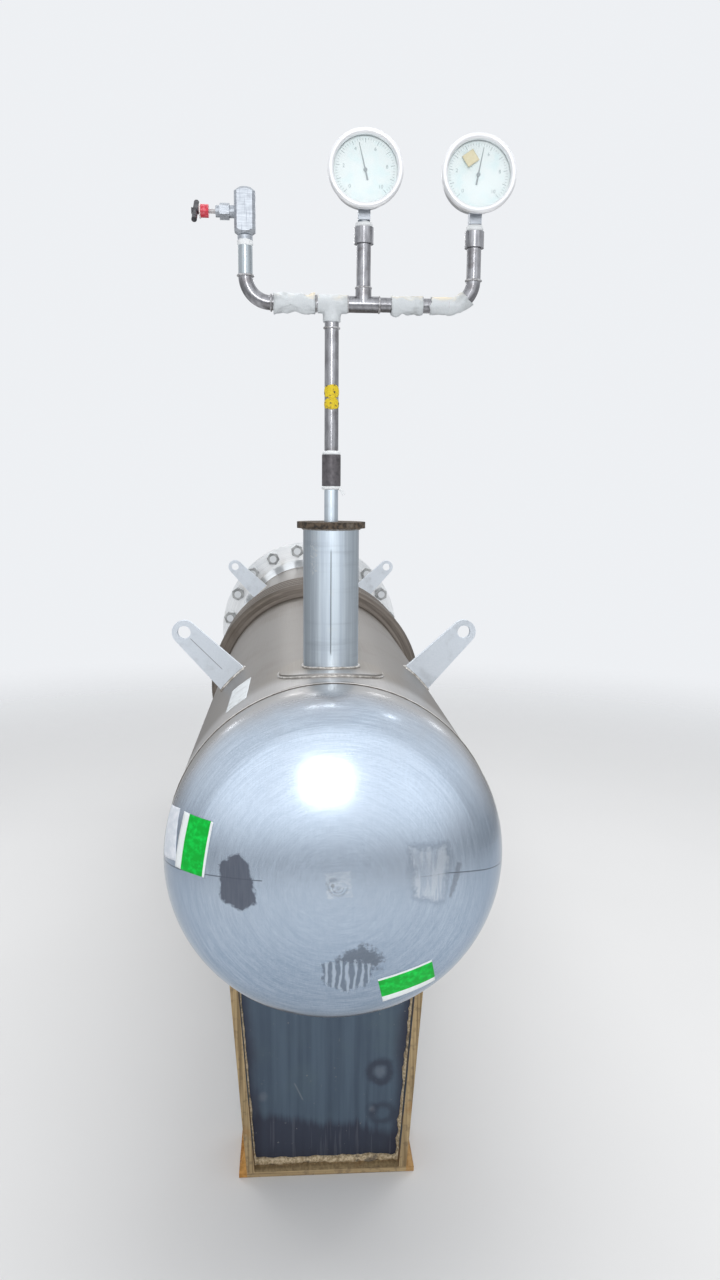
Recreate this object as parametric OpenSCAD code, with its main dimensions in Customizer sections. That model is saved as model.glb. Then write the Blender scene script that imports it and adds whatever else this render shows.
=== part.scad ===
// Horizontal pressure tank on two saddles, with a pressure test tree on its nozzle.
// The shell lies along Y with the domed head towards -Y and the bolted cover at +Y.
// Inside the modules y = 0 is the seam between head and shell, and z = 0 is the shell axis.
// place() moves everything to the part's frame: floor at z = 0, middle of the length at y = 0.

/* [Shell] */
// Outer diameter of the shell
shell_od = 610; // [520:5:700]
// Wall of shell and head
shell_t = 8; // [6:1:12]
// Straight flange of the head
skirt_len = 45; // [30:1:60]
// Crown radius of the head, as a share of the shell diameter
crown_ratio = 0.9; // [0.85:0.01:1]
// Knuckle radius of the head, as a share of the shell diameter
knuckle_ratio = 0.17; // [0.12:0.01:0.2]
// Front can, from the head seam to the bellows
front_can_len = 1432; // [1250:10:1600]
// Rear can, from the bellows to the flange hub
rear_can_len = 948; // [850:10:1200]
// Half width of a weld bead
bead_r = 5; // [3:0.5:7]

/* [Bellows] */
// Number of convolutions
bellows_count = 5; // [3:1:7]
// Length of one convolution
bellows_pitch = 58; // [44:1:70]
// Straight wall of a convolution, between its root and its crest
flank_len = 14; // [0:1:24]
// Wall of the bellows
bellows_t = 3; // [2:0.5:4]
// Length of each weld end of the bellows
cuff_len = 12; // [6:1:30]

/* [Girth flange] */
// Thickness of the flange ring and of the cover
flange_t = 47.8; // [38:0.2:56]
// Growth of the hub radius, from the shell to the flange ring
hub_flare_w = 26.75; // [18:0.25:32]
// Bolt circle, outward from the shell
bolt_offset_w = 69.65; // [64:0.05:80]
// Rim of the flange, outward from the bolt circle
rim_w = 31.85; // [29:0.05:40]
// Edge of the raised face, inward from the bolt circle
face_margin_w = 28.55; // [24:0.05:34]
// Number of studs
bolt_count = 20; // [12:4:24]
// Diameter of a stud
stud_d = 31.75; // [25:0.25:34]
// Width of a nut across its flats
nut_af = 50.8; // [46:0.2:54]
// Thickness of a nut
nut_t = 31.75; // [25:0.25:34]
// Stud end that shows past its nut
stud_tail_len = 8; // [4:1:16]
// Length through the hub, from weld to raised face
hub_len = 152.4; // [120:0.2:170]
// Height of the raised face
raised_face_h = 1.6; // [1:0.1:3]
// Gasket thickness, squeezed
gasket_t = 4.5; // [3:0.5:6]

/* [Nozzle] */
// Nozzle axis, from the head seam
nozzle_y = 167; // [150:0.5:300]
// Outer diameter of the nozzle pipe
nozzle_od = 108; // [88:0.1:140]
// Wall of the nozzle pipe
nozzle_t = 6; // [4:0.5:9]
// Height of the nozzle above the top of the shell
nozzle_h = 273; // [220:1:320]
// Diameter of the reinforcing pad
pad_d = 204; // [180:1:230]
// Thickness of the reinforcing pad
pad_t = 6; // [5:0.5:12]
// Diameter of the blanking disc on the nozzle
disc_d = 132; // [120:1:160]
// Thickness of the blanking disc
disc_t = 12; // [8:1:20]

/* [Test tree] */
// Outer diameter of the small pipe
pipe_od = 26.7; // [24:0.1:30]
// Wall of the small pipe
pipe_t = 2.9; // [2:0.1:4]
// Length of the stub pipe on the disc
stub_len = 68; // [50:1:90]
// Outer diameter of a threaded coupling
coupling_od = 36; // [34:0.5:42]
// Length of the coupling over the stub
coupling_len = 59; // [44:1:70]
// Length of the main riser
riser_len = 247.5; // [200:0.5:320]
// Outer diameter of a tee
tee_od = 30; // [30:0.5:34]
// Centre to end of a tee
tee_arm_len = 29.5; // [26:0.5:36]
// Bend radius of an elbow
elbow_r = 47; // [38:1:60]
// Axis of the valve, from the nozzle axis
valve_x = 160; // [150:1:190]
// Axis of the right gauge, from the nozzle axis
right_gauge_x = 266; // [255:1:320]
// Length of the riser under the valve
valve_riser_len = 56; // [40:1:80]
// Length of the riser under the centre gauge
centre_riser_len = 78; // [60:1:100]
// Length of the riser under the right gauge
right_riser_len = 58; // [45:1:90]
// Length of a gauge socket
socket_len = 29; // [25:1:45]

/* [Valve] */
// Width of the valve body across its flats
valve_w = 38; // [34:1:46]
// Height of the valve body
valve_h = 83; // [80:1:110]
// Height of the turned chamfer at each end of the body
valve_chamfer_h = 9; // [5:0.5:12]
// Flat cut along each long edge of the body
valve_edge_w = 5; // [3:0.5:7]
// Diameter of the neck under the body
neck_d = 28; // [27:0.5:33]
// Length of the neck under the body
neck_len = 14; // [10:1:26]
// Length of the bonnet shank
shank_len = 9; // [6:1:14]
// Spindle that shows between the bonnet and the sleeve
gland_len = 13; // [10:1:18]
// Width of the bonnet nut across its flats
bonnet_af = 26; // [22:1:30]
// Length of the bonnet nut
bonnet_nut_len = 25; // [18:1:30]
// Diameter of the valve spindle
spindle_d = 8; // [6:0.5:10]
// Diameter of the grip sleeve
sleeve_d = 23; // [18:1:28]
// Length of the grip sleeve
sleeve_len = 17; // [12:1:24]
// Diameter of the cross bar
tbar_d = 10; // [8:0.5:12]
// Length of the cross bar
tbar_len = 68; // [50:1:90]
// Turn of the cross bar from level, in degrees
tbar_turn = 40; // [0:5:90]

/* [Gauges] */
// Outer diameter of a gauge bezel
bezel_d = 138; // [130:1:160]
// Width of the bezel ring
bezel_w = 11; // [8:0.5:16]
// Depth of the bezel
bezel_depth = 11; // [10:1:18]
// Diameter of the gauge case
case_d = 122; // [114:1:132]
// Depth of the gauge case
case_depth = 38; // [28:1:48]
// Front of the bezel, from the pipe axis
gauge_front_y = 40; // [34:1:46]
// Gauge centre above its socket
gauge_centre_h = 93.5; // [84:0.5:110]
// Width of the square on the gauge stem
stem_w = 22; // [18:0.5:24]
// Diameter of the stem thread
stem_d = 18; // [12:0.5:20]
// Wall of the gauge case
case_t = 2; // [1:0.5:3]
// Thickness of the dial
dial_t = 1.5; // [1:0.5:2]
// Thickness of the window
window_t = 2.5; // [2:0.5:4]
// Straight side of the bezel behind its rounded front
bezel_side_len = 3; // [2:0.5:4]
// Gap between the window and the dial
dial_gap_len = 5; // [4:0.5:6]
// Pointer from its hub to the tip
pointer_len = 48; // [40:1:54]
// Tail of the pointer behind its hub
pointer_tail_len = 18; // [10:1:24]
// Widest part of the pointer
pointer_w = 3.5; // [3:0.5:7]
// Lean of the centre and the right pointer from straight up, in degrees
centre_pointer_turn = -14; // [-130:1:130]
right_pointer_turn = 11; // [-130:1:130]
// Exposed thread between socket and square
stem_neck_len = 12; // [6:1:16]

/* [Lugs] */
// Front lugs, from the head seam
front_lug_y = 508; // [470:1:600]
// Rear lugs, from the head seam
rear_lug_y = 2435; // [2300:1:2500]
// Lug thickness
lug_t = 14; // [10:1:20]
// Lug hole diameter
lug_hole_d = 30; // [22:1:34]
// Radius of the lug's round tip
lug_tip_r = 28; // [26:1:36]
// Lug hole centre above the shell
lug_hole_h = 154; // [120:1:180]
// Lug width at the shell
lug_base_w = 76; // [64:1:100]
// Lean of each lug from the top, in degrees
lug_lean = 45; // [35:1:55]

/* [Saddles] */
// Underside of the shell above the floor
shell_clear_h = 601; // [420:1:640]
// Front saddle, from the head seam to its middle
front_saddle_y = 368; // [330:1:410]
// Rear saddle, from the head seam to its middle
rear_saddle_y = 2312; // [2200:1:2360]
// Width over the side plates at the floor
saddle_foot_w = 366; // [320:2:400]
// Outward lean of the side plates, in degrees
saddle_lean = 4.1; // [2:0.1:6]
// Saddle depth along the shell
saddle_depth = 150; // [120:2:190]
// Thickness of the side plates
side_t = 18; // [12:1:22]
// Thickness of the webs
web_t = 12; // [8:1:16]
// Set back of each web from the plate edges
web_inset_y = 30; // [18:1:45]
// Base plate past the side plates, each side
base_lap_w = 18; // [12:1:40]
// Thickness of the base plate
base_t = 12; // [8:1:20]
// Height of the corner gussets
gusset_h = 70; // [60:1:110]
// Thickness of the corner gussets
gusset_t = 10; // [8:1:14]
// Thickness of the wear plate
wear_t = 8; // [5:1:12]
// Part of the shell the wear plate wraps, in degrees
wear_wrap = 112; // [108:2:130]
// Wear plate past the saddle edge, each way
wear_lap_w = 18; // [10:1:30]

/* [Hidden] */
$fn = 96;
// Running clearance between the spindle and the bonnet
run_clear = 0.4;
// Gap between the spindle's inner end and the bottom of its bore
spindle_end_gap = 3;
// Hub past the cross bar, each side
tbar_hub_lap = 2;
// Clearance between a nut bore and its stud
thread_clear = 0.15;
// Gap of the dial and the window in the gauge rim
fit_clear = 0.3;
// Lap of the bezel's back edge over the gauge case
rim_lap = 1;
// Clearance of a stud in its flange hole, over the diameter
hole_clear = 3.25;
// Gasket edge inside the edge of the raised face
gasket_inset = 2;

shell_r = shell_od / 2;
crown_r = crown_ratio * shell_od;
knuckle_r = knuckle_ratio * shell_od;
// Centre of the knuckle arc, out from the axis
knuckle_x = shell_r - knuckle_r;
// Centre of the crown arc, behind the tangent line
crown_y = sqrt(pow(crown_r - knuckle_r, 2) - pow(knuckle_x, 2));
head_depth = crown_r - crown_y;
crown_half_angle = atan2(knuckle_x, crown_y);

bolt_r = shell_r + bolt_offset_w;
flange_r = bolt_r + rim_w;
hub_base_r = shell_r + hub_flare_w;
raised_face_r = bolt_r - face_margin_w;
bolt_hole_d = stud_d + hole_clear;

bellows_len = bellows_count * bellows_pitch + 2 * cuff_len;
rear_can_y = front_can_len + bellows_len;
hub_y = rear_can_y + rear_can_len;
face_y = hub_y + hub_len;
// Back of the flange ring, on the shell side
ring_y = face_y - raised_face_h - flange_t;
// Straight end of the hub, clear of the weld bead
hub_land = bead_r + 3;
cover_y = face_y + gasket_t;
cover_back_y = cover_y + raised_face_h + flange_t;
stud_from = ring_y - nut_t - stud_tail_len;
stud_to = cover_back_y + nut_t + stud_tail_len;

front_end = -skirt_len - head_depth;
mid_y = (front_end + stud_to) / 2;
axis_h = shell_clear_h + shell_r;

nozzle_top = shell_r + nozzle_h;
disc_top = nozzle_top + disc_t;
coupling_z = disc_top + stub_len;
riser_z = coupling_z + coupling_len;
tee_bottom = riser_z + riser_len;
manifold_z = tee_bottom + tee_arm_len;
gauge_tee_x = 2 * tee_arm_len;
valve_neck_z = manifold_z + elbow_r + valve_riser_len;
valve_z = valve_neck_z + neck_len;
valve_mid_z = valve_z + valve_h / 2;
centre_socket_z = manifold_z + tee_arm_len + centre_riser_len;
right_socket_z = manifold_z + elbow_r + right_riser_len;
socket_xz = [[gauge_tee_x, centre_socket_z], [right_gauge_x, right_socket_z]];
window_y = bezel_w / 2 + bezel_side_len;
dial_y = window_y + window_t + dial_gap_len;
bonnet_end = valve_w / 2 + shank_len + bonnet_nut_len;

lean_k = tan(saddle_lean);
base_w = saddle_foot_w + 2 * base_lap_w;
seat_r = shell_r + wear_t;
wear_w = saddle_depth + 2 * wear_lap_w;

// Shared frames and forms

module place() {
  translate([0, -mid_y, axis_h])
    children();
}

// Turns a profile drawn as (radius, y) about the shell axis.
module revolve_y() {
  rotate([-90, 0, 0])
    rotate_extrude()
      children();
}

module rod_y(r, from, to) {
  translate([0, from, 0])
    rotate([-90, 0, 0])
      cylinder(r = r, h = to - from);
}

module tube_z(od, t, from, to) {
  translate([0, 0, from])
    difference() {
      cylinder(d = od, h = to - from);
      translate([0, 0, -1])
        cylinder(d = od - 2 * t, h = to - from + 2);
    }
}

module tube_x(od, t, from, to) {
  translate([from, 0, 0])
    rotate([0, 90, 0])
      tube_z(od, t, 0, to - from);
}

// Everything on the nozzle axis, with x and z counted from the shell axis.
module on_nozzle() {
  place()
    translate([0, nozzle_y, 0])
      children();
}

// Shell

// Profile of a domed head as (radius, depth): skirt, knuckle arc and crown arc.
module head_profile(inset) {
  r = shell_r - inset;
  translate([0, -skirt_len])
    square([r, skirt_len]);
  square([knuckle_x, 1]);
  intersection() {
    translate([knuckle_x, 0])
      circle(r = knuckle_r - inset);
    polygon([[knuckle_x, 0],
             [knuckle_x + 2 * knuckle_r, 0],
             [knuckle_x + 2 * knuckle_r, 2 * knuckle_r * cos(crown_half_angle)],
             [knuckle_x + 2 * knuckle_r * sin(crown_half_angle), 2 * knuckle_r * cos(crown_half_angle)]]);
  }
  intersection() {
    translate([0, -crown_y])
      circle(r = crown_r - inset);
    polygon([[0, 0],
             [knuckle_x, 0],
             [knuckle_x + crown_r * sin(crown_half_angle), crown_r * cos(crown_half_angle)],
             [0, crown_r]]);
  }
}

module front_head() {
  color("silver")
    place()
      translate([0, -skirt_len, 0])
        mirror([0, 1, 0])
          revolve_y()
            difference() {
              head_profile(0);
              head_profile(shell_t);
              translate([-1, -skirt_len - 1])
                square([shell_r - shell_t + 1, 2]);
            }
}

module can(from, length) {
  difference() {
    rod_y(shell_r, from, from + length);
    rod_y(shell_r - shell_t, from - 1, from + length + 1);
  }
}

module front_shell() {
  color("lightsteelblue")
    place()
      difference() {
        can(0, front_can_len);
        translate([0, nozzle_y, 0])
          cylinder(d = nozzle_od - 2 * nozzle_t, h = shell_r + 10);
      }
}

module rear_shell() {
  color("lightsteelblue")
    place()
      can(rear_can_y, rear_can_len);
}

// Half of a bellows arc: a ring about (r, y), cut at the mean radius.
module half_arc(outward) {
  intersection() {
    difference() {
      circle(r = bellows_pitch / 4 + bellows_t / 2, $fn = 48);
      circle(r = bellows_pitch / 4 - bellows_t / 2, $fn = 48);
    }
    translate([outward ? 0 : -bellows_pitch, -bellows_pitch])
      square([bellows_pitch, 2 * bellows_pitch]);
  }
}

module bellows() {
  root_r = shell_r - bellows_t / 2 + bellows_pitch / 4;
  color("darkgray")
    place()
      translate([0, front_can_len, 0])
        revolve_y() {
          translate([shell_r - shell_t, 0])
            square([shell_t, cuff_len]);
          translate([shell_r - shell_t, bellows_len - cuff_len])
            square([shell_t, cuff_len]);
          for (i = [0 : bellows_count - 1])
            translate([root_r + flank_len, cuff_len + (i + 0.5) * bellows_pitch])
              half_arc(true);
          for (i = [0 : 2 * bellows_count - 1])
            translate([root_r, cuff_len + (i + 0.5) * bellows_pitch / 2 - bellows_t / 2])
              square([flank_len, bellows_t]);
          for (i = [0 : bellows_count])
            translate([root_r, cuff_len + i * bellows_pitch])
              intersection() {
                half_arc(false);
                translate([-bellows_pitch, i == 0 ? 0 : -bellows_pitch])
                  square([2 * bellows_pitch, i % bellows_count == 0 ? bellows_pitch : 2 * bellows_pitch]);
              }
        }
}

// Raised cap beads on the round seams of head and flange hub.
module weld_beads() {
  color("gray")
    place()
      for (y = [0, hub_y])
        translate([0, y, 0])
          revolve_y()
            intersection() {
              translate([shell_r - bead_r * 0.6, 0])
                circle(r = bead_r, $fn = 32);
              translate([shell_r, -bead_r])
                square([bead_r, 2 * bead_r]);
            }
}

// Girth flange

module bolt_places() {
  for (i = [0 : bolt_count - 1])
    rotate([0, (i + 0.5) * 360 / bolt_count, 0])
      translate([bolt_r, 0, 0])
        children();
}

module shell_flange() {
  color("gainsboro")
    place()
      difference() {
        revolve_y()
          polygon([[shell_r - shell_t, hub_y],
                   [shell_r, hub_y],
                   [shell_r, hub_y + hub_land],
                   [hub_base_r, ring_y],
                   [flange_r, ring_y],
                   [flange_r, ring_y + flange_t],
                   [raised_face_r, ring_y + flange_t],
                   [raised_face_r, face_y],
                   [shell_r - shell_t, face_y]]);
        bolt_places()
          rod_y(bolt_hole_d / 2, ring_y - 1, face_y + 1);
      }
}

module flange_gasket() {
  color("dimgray")
    place()
      difference() {
        rod_y(raised_face_r - gasket_inset, face_y, cover_y);
        rod_y(shell_r, face_y - 1, cover_y + 1);
      }
}

module cover_flange() {
  color("gainsboro")
    place()
      difference() {
        union() {
          rod_y(raised_face_r, cover_y, cover_y + raised_face_h);
          rod_y(flange_r, cover_y + raised_face_h, cover_back_y);
        }
        bolt_places()
          rod_y(bolt_hole_d / 2, cover_y - 1, cover_back_y + 1);
      }
}

module flange_studs() {
  color("slategray")
    place()
      bolt_places()
        rod_y(stud_d / 2, stud_from, stud_to);
}

// A nut along +Y from its seat, with its outer corners turned off.
module nut() {
  difference() {
    intersection() {
      rotate([-90, 0, 0])
        cylinder(d = nut_af / cos(30), h = nut_t, $fn = 6);
      rotate([-90, 0, 0])
        cylinder(r1 = nut_af / 2 + nut_t, r2 = nut_af / 2 * 0.98, h = nut_t);
    }
    rod_y(stud_d / 2 + thread_clear, -1, nut_t + 1);
  }
}

module front_nuts() {
  color("gray")
    place()
      bolt_places()
        translate([0, ring_y, 0])
          mirror([0, 1, 0])
            nut();
}

module rear_nuts() {
  color("gray")
    place()
      bolt_places()
        translate([0, cover_back_y, 0])
          nut();
}

// Nozzle

module nozzle_pad() {
  color("silver")
    place()
      difference() {
        intersection() {
          translate([0, nozzle_y, 0])
            cylinder(d = pad_d, h = shell_r + pad_t + 1);
          rod_y(shell_r + pad_t, nozzle_y - pad_d, nozzle_y + pad_d);
        }
        rod_y(shell_r, nozzle_y - pad_d - 1, nozzle_y + pad_d + 1);
        translate([0, nozzle_y, 0])
          cylinder(d = nozzle_od, h = shell_r + pad_t + 2);
      }
}

module nozzle_pipe() {
  color("silver")
    place()
      difference() {
        translate([0, nozzle_y, 0])
          tube_z(nozzle_od, nozzle_t, shell_r / 2, nozzle_top);
        rod_y(shell_r, nozzle_y - nozzle_od, nozzle_y + nozzle_od);
      }
}

module blanking_disc() {
  color("saddlebrown")
    on_nozzle()
      translate([0, 0, nozzle_top])
        difference() {
          cylinder(d = disc_d, h = disc_t);
          translate([0, 0, -1])
            cylinder(d = pipe_od - 2 * pipe_t, h = disc_t + 2);
        }
}

// Test tree

module stub_pipe() {
  color("silver")
    on_nozzle()
      tube_z(pipe_od, pipe_t, disc_top, coupling_z);
}

module stub_coupling() {
  color("dimgray")
    on_nozzle()
      tube_z(coupling_od, (coupling_od - pipe_od) / 2 + pipe_t, coupling_z, riser_z);
}

module main_riser() {
  color("darkgray")
    on_nozzle()
      tube_z(pipe_od, pipe_t, riser_z, tee_bottom);
}

// A tee about its centre, with its branch towards +Z.
module tee() {
  difference() {
    union() {
      translate([-tee_arm_len, 0, 0])
        rotate([0, 90, 0])
          cylinder(d = tee_od, h = 2 * tee_arm_len);
      cylinder(d = tee_od, h = tee_arm_len);
    }
    translate([-tee_arm_len - 1, 0, 0])
      rotate([0, 90, 0])
        cylinder(d = pipe_od - 2 * pipe_t, h = 2 * tee_arm_len + 2);
    cylinder(d = pipe_od - 2 * pipe_t, h = tee_arm_len + 1);
  }
}

module main_tee() {
  color("darkgray")
    on_nozzle()
      translate([0, 0, manifold_z])
        mirror([0, 0, 1])
          tee();
}

module gauge_tee() {
  color("darkgray")
    on_nozzle()
      translate([gauge_tee_x, 0, manifold_z])
        tee();
}

module left_pipe() {
  color("darkgray")
    on_nozzle()
      translate([0, 0, manifold_z])
        tube_x(pipe_od, pipe_t, -valve_x + elbow_r, -tee_arm_len);
}

module right_pipe() {
  color("darkgray")
    on_nozzle()
      translate([0, 0, manifold_z])
        tube_x(pipe_od, pipe_t, gauge_tee_x + tee_arm_len, right_gauge_x - elbow_r);
}

// A quarter bend that ends at the origin going up, and starts level at x = -elbow_r.
module elbow() {
  translate([-elbow_r, 0, 0])
    rotate([90, 0, 0])
      rotate([0, 0, -90])
        rotate_extrude(angle = 90)
          translate([elbow_r, 0])
            difference() {
              circle(d = pipe_od);
              circle(d = pipe_od - 2 * pipe_t);
            }
}

module right_elbow() {
  color("darkgray")
    on_nozzle()
      translate([right_gauge_x, 0, manifold_z + elbow_r])
        elbow();
}

module left_elbow() {
  color("darkgray")
    on_nozzle()
      translate([-valve_x, 0, manifold_z + elbow_r])
        mirror([1, 0, 0])
          elbow();
}

module top_risers() {
  color("darkgray")
    on_nozzle() {
      translate([-valve_x, 0, 0])
        tube_z(pipe_od, pipe_t, manifold_z + elbow_r, valve_neck_z);
      translate([gauge_tee_x, 0, 0])
        tube_z(pipe_od, pipe_t, manifold_z + tee_arm_len, centre_socket_z);
      translate([right_gauge_x, 0, 0])
        tube_z(pipe_od, pipe_t, manifold_z + elbow_r, right_socket_z);
    }
}

// Needle valve

// Square bar with flats along its edges, both ends turned to a chamfer, on a round neck.
module valve_body() {
  corner_r = valve_w / 2 * 1.12;
  chamfer = valve_chamfer_h;
  color("whitesmoke")
    on_nozzle()
      translate([-valve_x, 0, valve_z]) {
        intersection() {
          linear_extrude(valve_h)
            intersection() {
              square(valve_w, center = true);
              rotate(45)
                square(valve_w * sqrt(2) - valve_edge_w * sqrt(2), center = true);
            }
          rotate_extrude()
            polygon([[0, 0],
                     [corner_r - chamfer, 0],
                     [corner_r * 1.12, chamfer],
                     [corner_r * 1.12, valve_h - chamfer],
                     [corner_r - chamfer, valve_h],
                     [0, valve_h]]);
        }
        translate([0, 0, -neck_len])
          cylinder(d = neck_d, h = neck_len);
      }
}

// Shank, nut and gland on one line towards -X, bored for the spindle.
module valve_bonnet() {
  color("gainsboro")
    on_nozzle()
      translate([-valve_x - valve_w / 2, 0, valve_mid_z])
        rotate([0, -90, 0])
          difference() {
            union() {
              cylinder(d = bonnet_af * 0.85, h = shank_len);
              translate([0, 0, shank_len])
                cylinder(d = bonnet_af / cos(30), h = bonnet_nut_len * 0.7, $fn = 6);
              translate([0, 0, shank_len + bonnet_nut_len * 0.7])
                cylinder(d = bonnet_af * 0.8, h = bonnet_nut_len * 0.3);
            }
            translate([0, 0, shank_len])
              cylinder(d = spindle_d + 2 * run_clear, h = bonnet_nut_len + 1);
          }
}

// Spindle, grip sleeve and cross bar. The spindle stands in the bonnet with clearance all round.
module valve_handle() {
  spindle_in = bonnet_nut_len - spindle_end_gap;
  color("firebrick")
    on_nozzle()
      translate([-valve_x - bonnet_end, 0, valve_mid_z])
        rotate([tbar_turn, 0, 0])
          rotate([0, -90, 0]) {
            translate([0, 0, -spindle_in])
              cylinder(d = spindle_d, h = spindle_in + gland_len);
            translate([0, 0, gland_len])
              cylinder(d = sleeve_d, h = sleeve_len);
            translate([0, 0, gland_len + sleeve_len])
              cylinder(d = spindle_d * 1.5, h = tbar_d + 2 * tbar_hub_lap);
            translate([0, tbar_len / 2, gland_len + sleeve_len + tbar_d / 2 + tbar_hub_lap])
              rotate([90, 0, 0])
                cylinder(d = tbar_d, h = tbar_len);
          }
}

// Gauges

module at_sockets() {
  on_nozzle()
    for (p = socket_xz)
      translate([p[0], 0, p[1]])
        children();
}

// The gauge frame: centre of the dial circle, with the front of the bezel at y = 0.
module at_gauges() {
  at_sockets()
    translate([0, -gauge_front_y, socket_len + gauge_centre_h])
      children();
}

module gauge_sockets() {
  color("gray")
    at_sockets()
      tube_z(coupling_od, (coupling_od - stem_d) / 2, 0, socket_len);
}

// Threaded shank, wrench square and neck, up to the case.
module gauge_stems() {
  neck_top = socket_len + gauge_centre_h - case_d / 2;
  color("lightgray")
    at_sockets() {
      translate([0, 0, socket_len - 15])
        cylinder(d = stem_d - 2 * thread_clear, h = 15 + stem_neck_len);
      difference() {
        translate([-stem_w / 2, -stem_w / 2, socket_len + stem_neck_len])
          cube([stem_w, stem_w, neck_top - socket_len - stem_neck_len + 6]);
        translate([0, -gauge_front_y, socket_len + gauge_centre_h])
          rod_y(case_d / 2, 0, gauge_front_y + case_depth);
      }
    }
}

// Open drum with a back wall.
module gauge_cases() {
  color("silver")
    at_gauges()
      difference() {
        rod_y(case_d / 2, bezel_depth, bezel_depth + case_depth);
        rod_y(case_d / 2 - case_t, bezel_depth - 1, bezel_depth + case_depth - case_t);
      }
}

// Ring with a rounded front that laps over the window.
module gauge_bezels() {
  r_out = bezel_d / 2;
  r_in = r_out - bezel_w;
  round_r = bezel_w / 2;
  color("white")
    at_gauges()
      revolve_y() {
        translate([r_in, round_r])
          square([bezel_w, bezel_side_len]);
        translate([r_in + round_r, round_r])
          intersection() {
            circle(r = round_r, $fn = 48);
            translate([-round_r, -round_r])
              square([2 * round_r, round_r]);
          }
        translate([case_d / 2 - rim_lap, round_r + bezel_side_len])
          square([r_out - case_d / 2 + rim_lap, bezel_depth - round_r - bezel_side_len]);
      }
}

module gauge_dials() {
  color("azure")
    at_gauges()
      rod_y(case_d / 2 - case_t - fit_clear, dial_y, dial_y + dial_t);
}

module gauge_windows() {
  color("lightcyan", 0.4)
    at_gauges()
      rod_y(case_d / 2 - rim_lap - fit_clear, window_y, window_y + window_t);
}

// A tapered needle on a round hub, drawn pointing up.
module pointer() {
  translate([0, dial_y, 0])
    rotate([90, 0, 0]) {
      cylinder(d = 2 * pointer_w, h = 2 * dial_t);
      linear_extrude(dial_t * 0.6)
        polygon([[-pointer_w / 2, -pointer_tail_len],
                 [pointer_w / 2, -pointer_tail_len],
                 [pointer_w / 6, pointer_len],
                 [-pointer_w / 6, pointer_len]]);
    }
}

module gauge_pointers() {
  turns = [centre_pointer_turn, right_pointer_turn];
  color("black")
    on_nozzle()
      for (i = [0, 1])
        translate([socket_xz[i][0], -gauge_front_y, socket_xz[i][1] + socket_len + gauge_centre_h])
          rotate([0, turns[i], 0])
            pointer();
}

// Lifting lugs

// Lug outline: sides tangent to the round tip, foot cut to the shell, one hole.
module lug_outline() {
  tip_z = shell_r + lug_hole_h;
  foot_z = shell_r - 20;
  half_w = lug_base_w / 2;
  reach = sqrt(pow(half_w, 2) + pow(tip_z - foot_z, 2));
  side_angle = atan2(half_w, tip_z - foot_z) - asin(lug_tip_r / reach);
  difference() {
    union() {
      translate([0, tip_z])
        circle(r = lug_tip_r);
      polygon([[-half_w, foot_z],
               [half_w, foot_z],
               [lug_tip_r * cos(side_angle), tip_z + lug_tip_r * sin(side_angle)],
               [-lug_tip_r * cos(side_angle), tip_z + lug_tip_r * sin(side_angle)]]);
    }
    translate([0, tip_z])
      circle(d = lug_hole_d);
    circle(r = shell_r, $fn = 180);
  }
}

module lug_pair(y) {
  place()
    for (side = [-1, 1])
      translate([0, y + lug_t / 2, 0])
        rotate([0, side * lug_lean, 0])
          rotate([90, 0, 0])
            linear_extrude(lug_t)
              lug_outline();
}

module front_lugs() {
  color("lightblue")
    lug_pair(front_lug_y);
}

module rear_lugs() {
  color("lightblue")
    lug_pair(rear_lug_y);
}

// Saddles

// The saddle frame: x across, y from the middle of the saddle, z from the floor.
module at_saddle(y) {
  translate([0, y - mid_y, 0])
    children();
}

// A plate outline drawn as (x, z), extruded along Y from one depth to another.
module plate_y(from, to) {
  translate([0, to, 0])
    rotate([90, 0, 0])
      linear_extrude(to - from)
        children();
}

module wear_plate(y) {
  half = wear_wrap / 2;
  at_saddle(y)
    plate_y(-wear_w / 2, wear_w / 2)
      translate([0, axis_h])
        intersection() {
          difference() {
            circle(r = seat_r, $fn = 180);
            circle(r = shell_r, $fn = 180);
          }
          polygon([[0, 0],
                   [-2 * seat_r * tan(half), -2 * seat_r],
                   [2 * seat_r * tan(half), -2 * seat_r]]);
        }
}

// Cuts a plate outline to the round seat under the wear plate.
module seat_cut() {
  difference() {
    children();
    translate([0, axis_h])
      circle(r = seat_r, $fn = 180);
  }
}

// Half width over the side plates at a height.
function side_x(z) = saddle_foot_w / 2 + z * lean_k;

module saddle_webs(y) {
  top = axis_h - seat_r / 2;
  at_saddle(y)
    for (side = [-1, 1])
      plate_y(side * (saddle_depth / 2 - web_inset_y - web_t / 2) - web_t / 2,
              side * (saddle_depth / 2 - web_inset_y - web_t / 2) + web_t / 2)
        seat_cut()
          polygon([[-side_x(base_t) + side_t, base_t],
                   [side_x(base_t) - side_t, base_t],
                   [side_x(top) - side_t, top],
                   [-side_x(top) + side_t, top]]);
}

module saddle_sides(y) {
  top = axis_h - sqrt(pow(seat_r, 2) - pow(side_x(axis_h - seat_r / 2), 2));
  at_saddle(y)
    for (side = [-1, 1])
      plate_y(-saddle_depth / 2, saddle_depth / 2)
        seat_cut()
          polygon([[side * side_x(base_t), base_t],
                   [side * side_x(top), top],
                   [side * (side_x(top) - side_t), top],
                   [side * (side_x(base_t) - side_t), base_t]]);
}

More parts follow.
